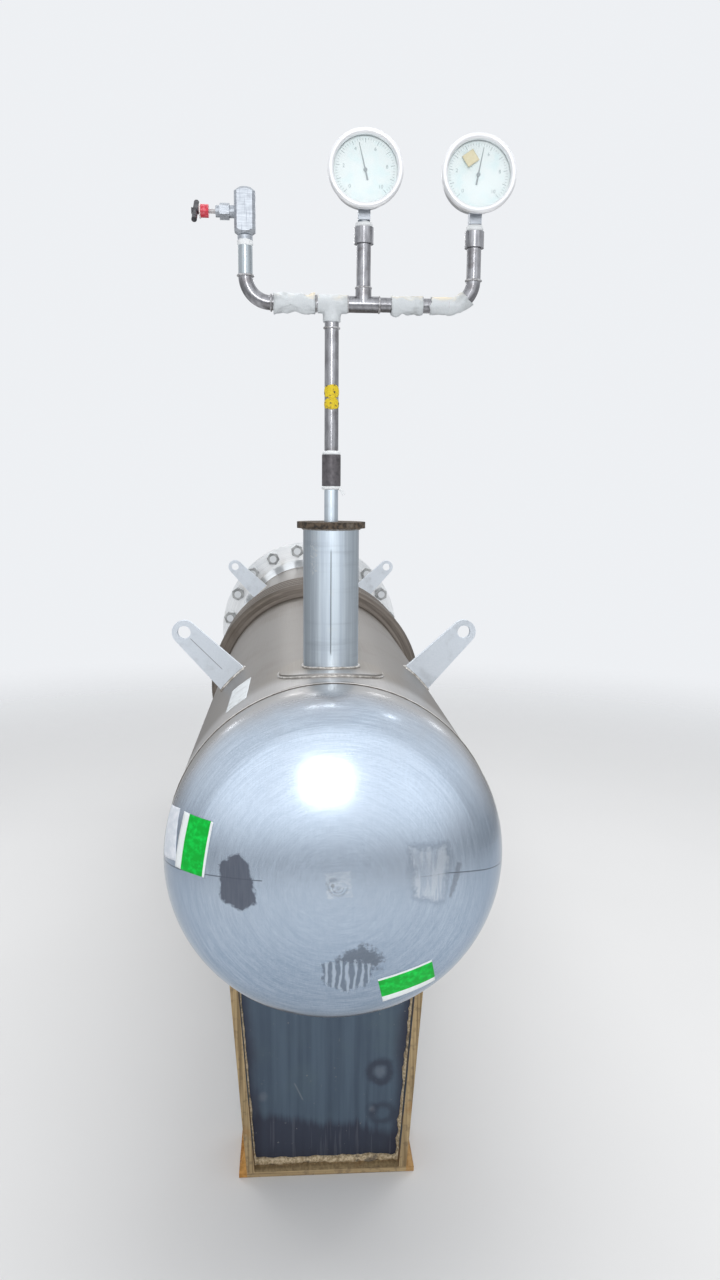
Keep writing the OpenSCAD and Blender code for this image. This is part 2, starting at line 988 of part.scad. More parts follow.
// Floor plate with a small upright gusset outside each side plate, front and back.
module saddle_base(y) {
  at_saddle(y) {
    translate([-base_w / 2, -saddle_depth / 2, 0])
      cube([base_w, saddle_depth, base_t]);
    for (side = [-1, 1])
      for (edge = [-1, 1])
        plate_y(edge * (saddle_depth / 2 - gusset_t / 2) - gusset_t / 2,
                edge * (saddle_depth / 2 - gusset_t / 2) + gusset_t / 2)
          polygon([[side * side_x(base_t), base_t],
                   [side * base_w / 2, base_t],
                   [side * side_x(gusset_h), gusset_h]]);
  }
}

module front_wear_plate() {
  color("silver")
    wear_plate(front_saddle_y);
}

module front_saddle_webs() {
  color("steelblue")
    saddle_webs(front_saddle_y);
}

module front_saddle_sides() {
  color("peru")
    saddle_sides(front_saddle_y);
}

module front_saddle_base() {
  color("sienna")
    saddle_base(front_saddle_y);
}

module rear_wear_plate() {
  color("silver")
    wear_plate(rear_saddle_y);
}

module rear_saddle_webs() {
  color("steelblue")
    saddle_webs(rear_saddle_y);
}

module rear_saddle_sides() {
  color("peru")
    saddle_sides(rear_saddle_y);
}

module rear_saddle_base() {
  color("sienna")
    saddle_base(rear_saddle_y);
}

front_head();
front_shell();
bellows();
rear_shell();
weld_beads();
shell_flange();
flange_gasket();
cover_flange();
flange_studs();
front_nuts();
rear_nuts();
nozzle_pad();
nozzle_pipe();
blanking_disc();
stub_pipe();
stub_coupling();
main_riser();
main_tee();
left_pipe();
left_elbow();
gauge_tee();
right_pipe();
right_elbow();
top_risers();
valve_body();
valve_bonnet();
valve_handle();
gauge_sockets();
gauge_stems();
gauge_cases();
gauge_bezels();
gauge_dials();
gauge_windows();
gauge_pointers();
front_lugs();
rear_lugs();
front_wear_plate();
front_saddle_webs();
front_saddle_sides();
front_saddle_base();
rear_wear_plate();
rear_saddle_webs();
rear_saddle_sides();
rear_saddle_base();
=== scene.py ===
import math

import bpy
from mathutils import Matrix, Vector


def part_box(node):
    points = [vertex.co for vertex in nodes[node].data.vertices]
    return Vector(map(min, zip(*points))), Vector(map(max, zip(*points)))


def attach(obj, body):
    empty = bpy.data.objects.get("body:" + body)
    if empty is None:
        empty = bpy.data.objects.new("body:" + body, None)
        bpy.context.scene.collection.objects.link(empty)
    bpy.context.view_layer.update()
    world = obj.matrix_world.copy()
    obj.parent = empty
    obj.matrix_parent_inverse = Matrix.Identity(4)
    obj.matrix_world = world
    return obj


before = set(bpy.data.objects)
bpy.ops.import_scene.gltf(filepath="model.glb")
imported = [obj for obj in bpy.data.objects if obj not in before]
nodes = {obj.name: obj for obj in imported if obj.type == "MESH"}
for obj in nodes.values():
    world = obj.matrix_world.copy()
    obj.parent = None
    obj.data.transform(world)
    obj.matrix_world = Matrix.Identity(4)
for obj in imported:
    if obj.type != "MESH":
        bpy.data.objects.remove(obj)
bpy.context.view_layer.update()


# Domed head: one pressed and spun stainless plate, welded to the front can. Its satin
# face has polishing arcs, ground and rubbed patches, scribed centre lines with a dab
# of clear tape where they cross, and a warm band beside the seam that is partly heat
# tint and partly a painted warm reflection. Painted shade makes the lower face and the
# side rims darker and bluer, and a painted shadow runs along the seam.
def box_of(name):
    """The lowest and highest corners of a CAD node."""
    return [Vector(corner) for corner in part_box(name)]


head_low, head_high = box_of("front_head")
axis_z = (head_low.z + head_high.z) / 2
shell_r = (head_high.x - head_low.x) / 2
seam_y = head_high.y


class Pattern:
    """A value that differs over a surface. It adds, multiplies and so on as a number does."""

    def __init__(self, socket):
        self.socket = socket
        self.tree = socket.id_data

    def __add__(self, other):
        return calc("ADD", self, other)

    def __sub__(self, other):
        return calc("SUBTRACT", self, other)

    def __rsub__(self, other):
        return calc("SUBTRACT", other, self)

    def __mul__(self, other):
        return calc("MULTIPLY", self, other)

    def __abs__(self):
        return calc("ABSOLUTE", self)


def feed(socket, value):
    """Sets a socket from a number, a colour or a pattern."""
    if isinstance(value, Pattern):
        value.tree.links.new(value.socket, socket)
    elif isinstance(value, tuple) and len(value) == 3 and len(socket.default_value) == 4:
        socket.default_value = (*value, 1.0)
    else:
        socket.default_value = value


def calc(operation, a, b=0.0):
    """One math node, for two patterns or a pattern and a number."""
    tree = a.tree if isinstance(a, Pattern) else b.tree
    made = tree.nodes.new("ShaderNodeMath")
    made.operation = operation
    feed(made.inputs[0], a)
    feed(made.inputs[1], b)
    return Pattern(made.outputs[0])


def larger(a, b):
    """The larger of two values."""
    return calc("MAXIMUM", a, b)


def radius_of(a, b):
    """How far a point is from where a and b are both 0."""
    return calc("SQRT", a * a + b * b)


def fade(value, start, end, low=0.0, high=1.0):
    """Goes smoothly from low to high while the value goes from start to end."""
    made = value.tree.nodes.new("ShaderNodeMapRange")
    made.interpolation_type = "SMOOTHSTEP"
    for name, given in (("Value", value), ("From Min", start), ("From Max", end),
                        ("To Min", low), ("To Max", high)):
        feed(made.inputs[name], given)
    return Pattern(made.outputs["Result"])


def place_of(tree, stretch=(1, 1, 1), turn=(0, 0, 0)):
    """Object coordinates, turned and stretched."""
    where = Pattern(tree.nodes.new("ShaderNodeTexCoord").outputs["Object"])
    if stretch == (1, 1, 1) and turn == (0, 0, 0):
        return where
    made = tree.nodes.new("ShaderNodeMapping")
    feed(made.inputs["Vector"], where)
    made.inputs["Rotation"].default_value = turn
    made.inputs["Scale"].default_value = stretch
    return Pattern(made.outputs["Vector"])


def facing_of(tree):
    """The direction that the surface faces."""
    return Pattern(tree.nodes.new("ShaderNodeNewGeometry").outputs["Normal"])


def split(vector):
    """The x, y and z of a vector."""
    made = vector.tree.nodes.new("ShaderNodeSeparateXYZ")
    feed(made.inputs[0], vector)
    return [Pattern(output) for output in made.outputs]


def joined(x, y, z):
    """A vector from its x, y and z."""
    made = x.tree.nodes.new("ShaderNodeCombineXYZ")
    for socket, value in zip(made.inputs, (x, y, z)):
        feed(socket, value)
    return Pattern(made.outputs[0])


def grain(where, scale, detail=3.0, roughness=0.55):
    """Noise from 0 to 1, about 0.5 on average."""
    made = where.tree.nodes.new("ShaderNodeTexNoise")
    feed(made.inputs["Vector"], where)
    made.inputs["Scale"].default_value = scale
    made.inputs["Detail"].default_value = detail
    made.inputs["Roughness"].default_value = roughness
    return Pattern(made.outputs["Fac"])


def speckle(tree, scale, detail=3.0):
    """Noise that is the same in every direction."""
    return grain(place_of(tree), scale, detail)


def strokes(tree, stretch, detail=3.0, turn=(0, 0, 0)):
    """Noise drawn out into strokes, finest where the stretch is largest."""
    return grain(place_of(tree, stretch, turn), 1.0, detail)


def round_place(tree, ring_scale, turn_scale, depth_scale):
    """Coordinates about the shell axis: out from it, round it and along it."""
    x, y, z = split(place_of(tree))
    up = z - axis_z
    return joined(radius_of(x, up) * ring_scale, calc("ARCTAN2", up, x) * turn_scale,
                  y * depth_scale)


def patch(tree, corners, soft, ragged):
    """1 inside a convex outline on the head's face, as x and height over the axis, clockwise."""
    x, _, z = split(place_of(tree))
    up = z - axis_z
    far = -1.0
    for (x0, z0), (x1, z1) in zip(corners, corners[1:] + corners[:1]):
        across, rise = x1 - x0, z1 - z0
        length = math.hypot(across, rise)
        beyond = up * (across / length) - x * (rise / length)
        far = larger(beyond - (z0 * across - x0 * rise) / length, far)
    fray = speckle(tree, 55, 3) + speckle(tree, 190, 2)
    return fade(far + (fray - 1.0) * ragged, soft, -soft)


def blend(amount, a, b):
    """Colour a, or b where the amount is 1."""
    made = amount.tree.nodes.new("ShaderNodeMix")
    made.data_type = "RGBA"
    feed(made.inputs[0], amount)
    feed(made.inputs[6], a)
    feed(made.inputs[7], b)
    return Pattern(made.outputs[2])


def new_finish(name, metallic, roughness, specular=0.5):
    """A new material, its node tree and its surface shader."""
    made = bpy.data.materials.new(name)
    made.use_nodes = True
    surface = made.node_tree.nodes["Principled BSDF"]
    surface.inputs["Metallic"].default_value = metallic
    surface.inputs["Roughness"].default_value = roughness
    surface.inputs["Specular IOR Level"].default_value = specular
    return made, made.node_tree, surface


def paint(surface, tone):
    """Colours a surface."""
    feed(surface.inputs["Base Color"], tone)


def relief(surface, height, strength, depth=0.001, normal=None):
    """Raises a surface by a height pattern, over a given normal if there is one."""
    made = surface.id_data.nodes.new("ShaderNodeBump")
    made.inputs["Strength"].default_value = strength
    made.inputs["Distance"].default_value = depth
    feed(made.inputs["Height"], height)
    if normal:
        feed(made.inputs["Normal"], normal)
    feed(surface.inputs["Normal"], Pattern(made.outputs["Normal"]))


def dress(finish, *names):
    """Gives CAD nodes their finish."""
    for name in names:
        nodes[name].material_slots[0].material = finish


head_finish, tree, surface = new_finish("head_satin", metallic=0.9, roughness=0.34)
x, y, z = split(place_of(tree))
up = z - axis_z
out = radius_of(x, up)
arcs = grain(round_place(tree, 700, 5, 200), 1.0, 2, 0.6)
arcs_wide = grain(round_place(tree, 160, 2.5, 60), 1.0, 3, 0.6)
strokes_a = strokes(tree, (18, 400, 700), 2, (0, 0.5, 0))
strokes_b = strokes(tree, (500, 300, 22), 2, (0, 0.35, 0))
mottle = speckle(tree, 7, 4)
marks = arcs * 0.35 + arcs_wide * 0.25
marks = marks + strokes_a * 0.2
marks = marks + strokes_b * 0.2
off_centre = fade(out, 0.006, 0.05) * fade(out, 0.10, 0.27, 0.5, 1.0)
marks = (marks - 0.5) * off_centre + 0.5
tone = blend(fade(marks, 0.38, 0.62), (0.45, 0.53, 0.63), (0.58, 0.67, 0.78))
tone = blend(fade(mottle, 0.42, 0.72, 0, 0.6), tone, (0.50, 0.57, 0.66))
# Painted shade and reflection: the lower face is made darker and bluer.
painted_lower_shade = fade(up, 0.10, -0.22)
tone = blend(painted_lower_shade * 0.75, tone,
             blend(fade(marks, 0.38, 0.62), (0.22, 0.31, 0.42), (0.40, 0.48, 0.60)))
# Painted shade: the left and right rims are made darker and bluer, more so low down.
painted_rim_shade = fade(abs(x), 0.19, 0.30)
tone = blend(painted_rim_shade * fade(up, 0.16, -0.02, 0.1, 0.5), tone, (0.24, 0.31, 0.41))
# Warm band beside the seam: partly heat tint, partly a painted warm reflection, so it is stronger
# on the upper side.
seam_tint_and_reflection = fade(y + mottle * 0.06, seam_y - 0.105, seam_y - 0.01)
seam_tint_and_reflection = seam_tint_and_reflection * fade(up, -0.10, 0.16, 0.35, 1.0)
tone = blend(seam_tint_and_reflection * 0.85, tone, (0.40, 0.375, 0.35))
seam_shadow = fade(y, seam_y - 0.0085, seam_y - 0.0055)
tone = blend(seam_shadow * 0.75, tone, (0.10, 0.085, 0.075))

dip = larger(x - 0.19, 0.0) * 0.12
level_line = abs(up - (0.008 - dip))
line_left = calc("LESS_THAN", x, -0.126)
line_right = fade(x, 0.10, 0.21, 0.0, 1.0)
scribe = fade(level_line, 0.0014, 0.0006) * larger(line_left, line_right)
dot = radius_of(x + 0.009, up - 0.003)
scribe = larger(scribe, fade(dot, 0.0040, 0.0022))
tone = blend(scribe * 0.7, tone, (0.07, 0.08, 0.10))

ground_left = patch(tree, [(-0.176, 0.048), (-0.163, 0.052), (-0.148, 0.035), (-0.136, -0.032),
                           (-0.160, -0.049), (-0.196, -0.034), (-0.198, 0.028)],
                    soft=0.0028, ragged=0.011)
ground_streaks = strokes(tree, (420, 10, 30), 2, (0, 0.12, 0))
tone = blend(ground_left * 0.93, tone,
             blend(ground_streaks, (0.088, 0.102, 0.138), (0.150, 0.165, 0.205)))
rubbed = patch(tree, [(0.116, 0.067), (0.190, 0.062), (0.197, 0.029), (0.186, -0.047),
                      (0.168, -0.047), (0.125, -0.028)], soft=0.006, ragged=0.014)
rubbed_core = patch(tree, [(0.124, 0.058), (0.182, 0.053), (0.188, 0.026), (0.179, -0.037),
                           (0.168, -0.037), (0.131, -0.022)], soft=0.007, ragged=0.02)
rub_strokes = fade(strokes(tree, (110, 10, 14), 2, (0, -0.2, 0)), 0.38, 0.62)
tone = blend((rubbed - rubbed_core * 0.8) * 0.42, tone, (0.23, 0.28, 0.35))
tone = blend(rubbed_core * fade(rub_strokes, 0, 1, 0.70, 0.15), tone, (0.68, 0.74, 0.81))
rub_edge = patch(tree, [(0.205, 0.025), (0.213, 0.021), (0.209, -0.002), (0.196, -0.040),
                        (0.190, -0.036)], soft=0.002, ragged=0.006)
tone = blend(rub_edge * 0.45, tone, (0.16, 0.17, 0.20))
cloud = patch(tree, [(-0.006, -0.143), (0.006, -0.124), (0.041, -0.110), (0.060, -0.117),
                     (0.076, -0.138), (0.074, -0.160)], soft=0.007, ragged=0.026)
tone = blend(cloud * 0.75, tone, (0.12, 0.14, 0.175))
zigzag = patch(tree, [(-0.026, -0.143), (0.006, -0.139), (0.058, -0.147), (0.060, -0.173),
                      (0.049, -0.195), (0.018, -0.207), (-0.012, -0.196), (-0.027, -0.175)],
               soft=0.004, ragged=0.022)
teeth = tree.nodes.new("ShaderNodeTexWave")
feed(teeth.inputs["Vector"], place_of(tree, (1, 0, 0.45)))
teeth.inputs["Scale"].default_value = 26
teeth.inputs["Distortion"].default_value = 5.0
teeth.inputs["Detail Scale"].default_value = 2.0
tooth = fade(Pattern(teeth.outputs["Fac"]), 0.25, 0.95)
tone = blend(zigzag * 0.8, tone, blend(tooth, (0.18, 0.22, 0.28), (0.50, 0.58, 0.68)))
taped = patch(tree, [(-0.022, 0.024), (0.020, 0.028), (0.024, -0.017), (-0.018, -0.020)],
              soft=0.0012, ragged=0.004)
crease = fade(strokes(tree, (60, 60, 160), 3, (0, 0.6, 0)), 0.40, 0.62)
tone = blend(taped * (crease * 0.35 + 0.10), tone, (0.74, 0.79, 0.83))
halo = fade(dot, 0.005, 0.008) * fade(dot, 0.016, 0.012)
halo = halo * fade(speckle(tree, 70, 3), 0.45, 0.58)
tone = blend(halo * 0.4, tone, (0.20, 0.24, 0.30))
paint(surface, tone)
rough = marks * 0.16 + 0.12
dull = larger(larger(ground_left, zigzag), seam_tint_and_reflection * 0.5)
feed(surface.inputs["Roughness"], rough + dull * 0.2)
pole = tree.nodes.new("ShaderNodeMix")
pole.data_type = "VECTOR"
feed(pole.inputs[0], fade(out, 0.012, 0.008))
feed(pole.inputs[4], facing_of(tree))
pole.inputs[5].default_value = (0, -1, 0)
relief(surface, marks, strength=0.06, depth=0.0006, normal=Pattern(pole.outputs[1]))
dress(head_finish, "front_head")


# Labels on the head: coated paper stuck to the curved face, two of about 100 by 62 mm,
# green between white margins, and a smaller plain white one at the left rim.
def open_mesh():
    """Opens the active piece in edit mode, with all of it selected."""
    bpy.ops.object.mode_set(mode="EDIT")
    bpy.ops.mesh.select_all(action="SELECT")


def close_mesh():
    """Leaves edit mode."""
    bpy.ops.object.mode_set(mode="OBJECT")


def fix_place():
    """Writes the selected piece's place, turn and size into its mesh."""
    bpy.ops.object.transform_apply(location=True, rotation=True, scale=True)


def select_only(*pieces):
    """Selects these pieces and nothing else, with the first one active."""
    bpy.ops.object.select_all(action="DESELECT")
    for piece in pieces:
        piece.select_set(True)
    if pieces:
        bpy.context.view_layer.objects.active = pieces[0]


def change(piece, kind, **settings):
    """Adds one modifier and applies it."""
    select_only(piece)
    made = piece.modifiers.new(kind, kind)
    for name, value in settings.items():
        setattr(made, name, value)
    bpy.ops.object.modifier_apply(modifier=made.name)


def lumps(name, size):
    """A cloud texture for uneven surfaces, with lumps of about the given size."""
    made = bpy.data.textures.new(name, "CLOUDS")
    made.noise_scale = size
    made.noise_depth = 2
    return made


def roughen(piece, texture, strength, middle=0.5, direction="NORMAL"):
    """Moves a piece's surface in and out by a cloud texture."""
    change(piece, "DISPLACE", texture=texture, strength=strength, mid_level=middle,
           direction=direction, texture_coords="GLOBAL")


def settle(piece, name, finish, body="root", smooth=True):
    """Writes the piece's place into its mesh, gives it its finish and ties it to its body."""
    select_only(piece)
    piece.name = name
    piece.data.name = name
    fix_place()
    open_mesh()
    bpy.ops.mesh.normals_make_consistent(inside=False)
    close_mesh()
    if smooth:
        bpy.ops.object.shade_smooth()
    piece.data.materials.clear()
    piece.data.materials.append(finish)
    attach(piece, body)


label_curl = lumps("label_curl", 0.03)
paper_thickness = 0.0004
held_off = 0.02


def stick(name, target, finish, centre, along, across, length, width):
    """A thin sheet laid on a curved node, its long side and its upper side as given."""
    select_only()
    bpy.ops.mesh.primitive_grid_add(x_subdivisions=24, y_subdivisions=16, size=1)
    label = bpy.context.object
    place = Vector(centre)
    long_side = Vector(along).normalized()
    face = long_side.cross(Vector(across)).normalized()
    short_side = face.cross(long_side)
    hub = Vector((0, max(place.y, seam_y), axis_z))
    outward = face if face.dot(place - hub) > 0 else -face
    turn = Matrix((long_side, short_side, face)).transposed().to_4x4()
    label.matrix_world = (Matrix.Translation(place + outward * held_off) @ turn
                          @ Matrix.Diagonal((length, width, 1, 1)))
    fix_place()
    change(label, "SHRINKWRAP", target=nodes[target], wrap_method="PROJECT",
           wrap_mode="ABOVE_SURFACE", offset=0.0005,
           use_negative_direction=True, use_positive_direction=True)
    roughen(label, label_curl, 0.0006, middle=0.2)
    change(label, "SOLIDIFY", thickness=paper_thickness, offset=0)
    settle(label, name, finish)


paper_green, tree, surface = new_finish("label_green", metallic=0.0, roughness=0.5, specular=0.25)
v = split(Pattern(tree.nodes.new("ShaderNodeTexCoord").outputs["UV"]))[1]
print_margin_and_seam_glint = larger(fade(v, 0.235, 0.225), fade(v, 0.925, 0.935))
green = blend(fade(speckle(tree, 90, 4), 0.4, 0.7), (0.001, 0.42, 0.035), (0.003, 0.66, 0.075))
white = blend(speckle(tree, 200), (0.80, 0.85, 0.86), (0.90, 0.94, 0.95))
paint(surface, blend(print_margin_and_seam_glint, green, white))
relief(surface, speckle(tree, 500), strength=0.1, depth=0.0003)

paper_white, tree, surface = new_finish("label_white", metallic=0.0, roughness=0.5)
paint(surface, blend(fade(speckle(tree, 80, 4), 0.35, 0.7), (0.70, 0.75, 0.82), (0.84, 0.87, 0.93)))
relief(surface, speckle(tree, 500), strength=0.1, depth=0.0003)

stick("label_left", "front_head", paper_green, centre=(-0.2415, -1.5025, axis_z + 0.0545),
      along=(-0.175, -0.03, -0.98), across=(0.84, -0.55, -0.10), length=0.098, width=0.062)
stick("label_low", "front_head", paper_green, centre=(0.1240, -1.5115, axis_z - 0.1980),
      along=(-0.94, -0.14, -0.27), across=(-0.20, -0.43, 0.87), length=0.100, width=0.062)
stick("label_rim", "front_head", paper_white, centre=(-0.2835, -1.4600, axis_z + 0.0610),
      along=(-0.08, -0.19, -0.98), across=(-0.52, 0.84, -0.12), length=0.090, width=0.050)


# Front and rear can with the bellows between them. The cans are rolled stainless plate,
# warm grey with a fine grain, browned by heat near the welds. The bellows is thin formed
# sheet, dull and brown. Weld beads join them all.
shell_finish, tree, surface = new_finish("shell_plate", metallic=0.88, roughness=0.36)
light_plate, dark_plate = (0.30, 0.277, 0.254), (0.205, 0.187, 0.169)
rolled = grain(round_place(tree, 40, 220, 5), 1.0, 3)
scratch = grain(round_place(tree, 10, 30, 260), 1.0, 2)
stain = speckle(tree, 4.5, 5)
tone = blend(fade(rolled, 0.3, 0.7), dark_plate, light_plate)
tone = blend(fade(scratch, 0.60, 0.72, 0, 0.35), tone, light_plate)
tone = blend(fade(stain, 0.48, 0.72, 0, 0.6), tone, (0.185, 0.152, 0.124))
feed(surface.inputs["Roughness"], fade(rolled, 0.2, 0.8, 0.30, 0.46))
relief(surface, rolled + scratch, strength=0.10, depth=0.0006)
x, y, _ = split(place_of(tree))
nozzle_low, nozzle_high = box_of("nozzle_pipe")
nozzle_y = (nozzle_low.y + nozzle_high.y) / 2
reach = radius_of(x, y - nozzle_y)
burn = fade(reach + speckle(tree, 14) * 0.07, 0.20, 0.12)
tone = blend(burn * 0.4, tone, (0.31, 0.27, 0.22))
wander = y + speckle(tree, 16, 3) * 0.03
ground_band = (fade(wander, seam_y + 0.024, seam_y + 0.034)
               * fade(wander, seam_y + 0.17, seam_y + 0.08))
tone = blend(ground_band * 0.75, tone, (0.54, 0.53, 0.525))
heat_band = fade(wander, seam_y + 0.034, seam_y + 0.020)
tone = blend(heat_band * 0.45, tone, (0.30, 0.26, 0.22))
# Painted highlight: a pale glint along the can just behind the head seam.
print_margin_and_seam_glint = fade(y, seam_y + 0.014, seam_y + 0.009) * fade(speckle(tree, 9), 0.38, 0.56, 0.15, 0.8)
tone = blend(print_margin_and_seam_glint, tone, (0.66, 0.64, 0.61))
paint(surface, tone)
dress(shell_finish, "front_shell", "rear_shell", "front_wear_plate", "rear_wear_plate",
      "nozzle_pad")

bellows_finish, tree, surface = new_finish("bellows_sheet", metallic=0.85, roughness=0.42)
drawn_rings = grain(round_place(tree, 260, 2.5, 260), 1.0, 3)
dust = speckle(tree, 6, 5)
tone = blend(fade(drawn_rings, 0.32, 0.68), (0.135, 0.117, 0.101), (0.200, 0.174, 0.151))
tone = blend(fade(dust, 0.46, 0.72, 0, 0.6), tone, (0.085, 0.068, 0.052))
paint(surface, tone)
relief(surface, drawn_rings, strength=0.10, depth=0.0006)
dress(bellows_finish, "bellows")

weld_finish, tree, surface = new_finish("weld_metal", metallic=0.85, roughness=0.38)
rise = speckle(tree, 160, 3)
heat = speckle(tree, 22, 2)
tone = blend(fade(rise, 0.3, 0.7), (0.20, 0.185, 0.17), (0.42, 0.40, 0.38))
tone = blend(fade(heat, 0.5, 0.7, 0, 0.45), tone, (0.20, 0.155, 0.11))
y = split(place_of(tree))[1]
# Painted shadow: the bead's front toe, beside the head, is darkened.
tone = blend(fade(y, seam_y - 0.0025, seam_y - 0.0035, 0, 0.85), tone, (0.08, 0.07, 0.06))
# Painted highlight: a pale, less metallic streak along the bead's crest.
painted_crest_highlight = fade(y, seam_y - 0.0025, seam_y - 0.0015) * fade(y, seam_y + 0.02, seam_y + 0.01)
painted_crest_highlight = painted_crest_highlight * fade(speckle(tree, 6), 0.35, 0.55, 0.4, 1.0)
tone = blend(painted_crest_highlight * 0.9, tone, (0.90, 0.885, 0.86))
feed(surface.inputs["Metallic"], 0.85 - painted_crest_highlight * 0.45)
paint(surface, tone)
relief(surface, rise, strength=0.35, depth=0.001)
dress(weld_finish, "weld_beads")

bright_weld, tree, surface = new_finish("bright_weld", metallic=0.9, roughness=0.3)
rise = speckle(tree, 150, 3)
stain = speckle(tree, 26, 4)
tone = blend(fade(rise, 0.3, 0.7), (0.42, 0.40, 0.375), (0.72, 0.70, 0.665))
tone = blend(fade(stain, 0.52, 0.66, 0, 0.65), tone, (0.22, 0.18, 0.14))
paint(surface, tone)
relief(surface, rise, strength=0.35, depth=0.001)

tape_finish, tree, surface = new_finish("masking_tape", metallic=0.0, roughness=0.6)
crepe = speckle(tree, 420, 3)
grime = speckle(tree, 30, 4)
tone = blend(crepe, (0.58, 0.62, 0.645), (0.77, 0.80, 0.82))
# Painted light: upward faces of the test tree's tape are tinted warm cream.
facing = split(facing_of(tree))[2]
painted_top_light = fade(facing, 0.2, 0.8) * fade(speckle(tree, 22, 3), 0.40, 0.60)
painted_top_light = painted_top_light * calc("GREATER_THAN", split(place_of(tree))[2], axis_z + 0.5)
tone = blend(painted_top_light * 0.8, tone, (0.78, 0.68, 0.50))
tone = blend(fade(grime, 0.50, 0.70, 0, 0.6), tone, (0.40, 0.42, 0.42))
paint(surface, tone)
relief(surface, crepe + grime, strength=0.35, depth=0.001)

tape_turn = math.radians(37)
tape_from_seam = 0.200
aside, upward = math.sin(tape_turn), math.cos(tape_turn)
stick("shell_tape", "front_shell", tape_finish,
      centre=(-shell_r * aside, seam_y + tape_from_seam, axis_z + shell_r * upward),
      along=(0, 1, 0), across=(upward, 0, aside), length=0.205, width=0.050)


# Girth flange pair: a weld-neck flange on the rear can and a blind cover, forged and
# turned bright all over, with a wound gasket between their raised faces, through studs
# and heavy hex nuts.
flange_finish, tree, surface = new_finish("turned_steel", metallic=0.85, roughness=0.3)
cuts = grain(round_place(tree, 900, 1.5, 900), 1.0, 1)
wipe = speckle(tree, 9, 4)
tone = blend(fade(cuts, 0.3, 0.7), (0.77, 0.79, 0.805), (0.92, 0.935, 0.945))
tone = blend(fade(wipe, 0.52, 0.75, 0, 0.5), tone, (0.50, 0.48, 0.44))
paint(surface, tone)
relief(surface, cuts, strength=0.12, depth=0.0005)
dress(flange_finish, "shell_flange", "cover_flange")

gasket_finish, tree, surface = new_finish("wound_gasket", metallic=0.3, roughness=0.5)
wound = grain(round_place(tree, 1200, 1, 1200), 1.0, 1)
paint(surface, blend(wound, (0.04, 0.045, 0.05), (0.16, 0.17, 0.18)))
dress(gasket_finish, "flange_gasket")

bolt_finish, tree, surface = new_finish("bolting_steel", metallic=0.8, roughness=0.4)
patina = speckle(tree, 45, 4)
tone = blend(fade(patina, 0.35, 0.65), (0.25, 0.26, 0.26), (0.45, 0.46, 0.46))
paint(surface, tone)
relief(surface, patina, strength=0.2, depth=0.0008)
dress(bolt_finish, "front_nuts", "rear_nuts")
stud_finish, tree, surface = new_finish("threaded_stud", metallic=0.8, roughness=0.42)
thread = tree.nodes.new("ShaderNodeTexWave")
thread.bands_direction = "Y"
feed(thread.inputs["Vector"], place_of(tree))
thread.inputs["Scale"].default_value = 50
ridge = Pattern(thread.outputs["Fac"])
facing = split(facing_of(tree))[1]
end_face = calc("GREATER_THAN", abs(facing), 0.9)
tone = blend(ridge, (0.07, 0.07, 0.075), (0.30, 0.31, 0.31))
paint(surface, blend(end_face, tone, (0.66, 0.68, 0.70)))
relief(surface, ridge * (1.0 - end_face), strength=0.8, depth=0.0012)
dress(stud_finish, "flange_studs")


# Lifting lugs: four flame-cut plates on edge, pale and matt from blasting, each welded
# all round its foot to the shell. A line is scribed up the middle of the left front one.
lug_finish, tree, surface = new_finish("lug_plate", metallic=0.2, roughness=0.5)
blast = speckle(tree, 260, 3)
smudge = speckle(tree, 18, 4)
x, y, z = split(place_of(tree))
tone = blend(blast, (0.64, 0.70, 0.77), (0.76, 0.81, 0.87))
tone = blend(fade(smudge, 0.52, 0.75, 0, 0.5), tone, (0.42, 0.45, 0.48))
lug_line = abs(abs(x) - (z - axis_z))
left_front = calc("LESS_THAN", x, 0.0) * calc("LESS_THAN", y, 0.0)
risen = (z - axis_z - x) * 0.7071 - shell_r
line_ends = fade(risen, 0.030, 0.036) * fade(risen, 0.137, 0.131)
lug_line = fade(lug_line, 0.0016, 0.0007) * (left_front * line_ends)
tone = blend(lug_line * 0.7, tone, (0.10, 0.10, 0.12))
paint(surface, tone)
relief(surface, blast, strength=0.15, depth=0.0005)
dress(lug_finish, "front_lugs", "rear_lugs")

bead_ripple = lumps("bead_ripple", 0.007)


def draw_path(*points, closed=False):
    """A chain of edges through the points, drawn by extruding one vertex."""
    select_only()
    bpy.ops.mesh.primitive_plane_add(size=0.001)
    path = bpy.context.object
    open_mesh()
    bpy.ops.mesh.merge(type="CENTER")
    bpy.ops.transform.translate(value=points[0])
    for start, end in zip(points, points[1:]):
        step = Vector(end) - Vector(start)
        bpy.ops.mesh.extrude_region_move(TRANSFORM_OT_translate={"value": tuple(step)})
    bpy.ops.mesh.select_all(action="SELECT")
    if closed:
        bpy.ops.mesh.edge_face_add()
        bpy.ops.mesh.delete(type="ONLY_FACE")
    close_mesh()
    return path


def cut_path(path, cuts):
    """Divides each edge of a path."""
    select_only(path)
    open_mesh()
    bpy.ops.mesh.subdivide(number_cuts=cuts)
    close_mesh()
    return path


def lay_bead(path, name, thickness, finish=None, ripple=0.0014, texture=None):
    """A rippled round bead along a path of edges."""
    select_only(path)
    bpy.ops.object.convert(target="CURVE")
    bead = bpy.context.object
    bead.data.bevel_depth = thickness
    bead.data.bevel_resolution = 2
    bead.data.use_fill_caps = True
    bpy.ops.object.convert(target="MESH")
    bead = bpy.context.object
    roughen(bead, texture or bead_ripple, ripple)
    settle(bead, name, finish or weld_finish)


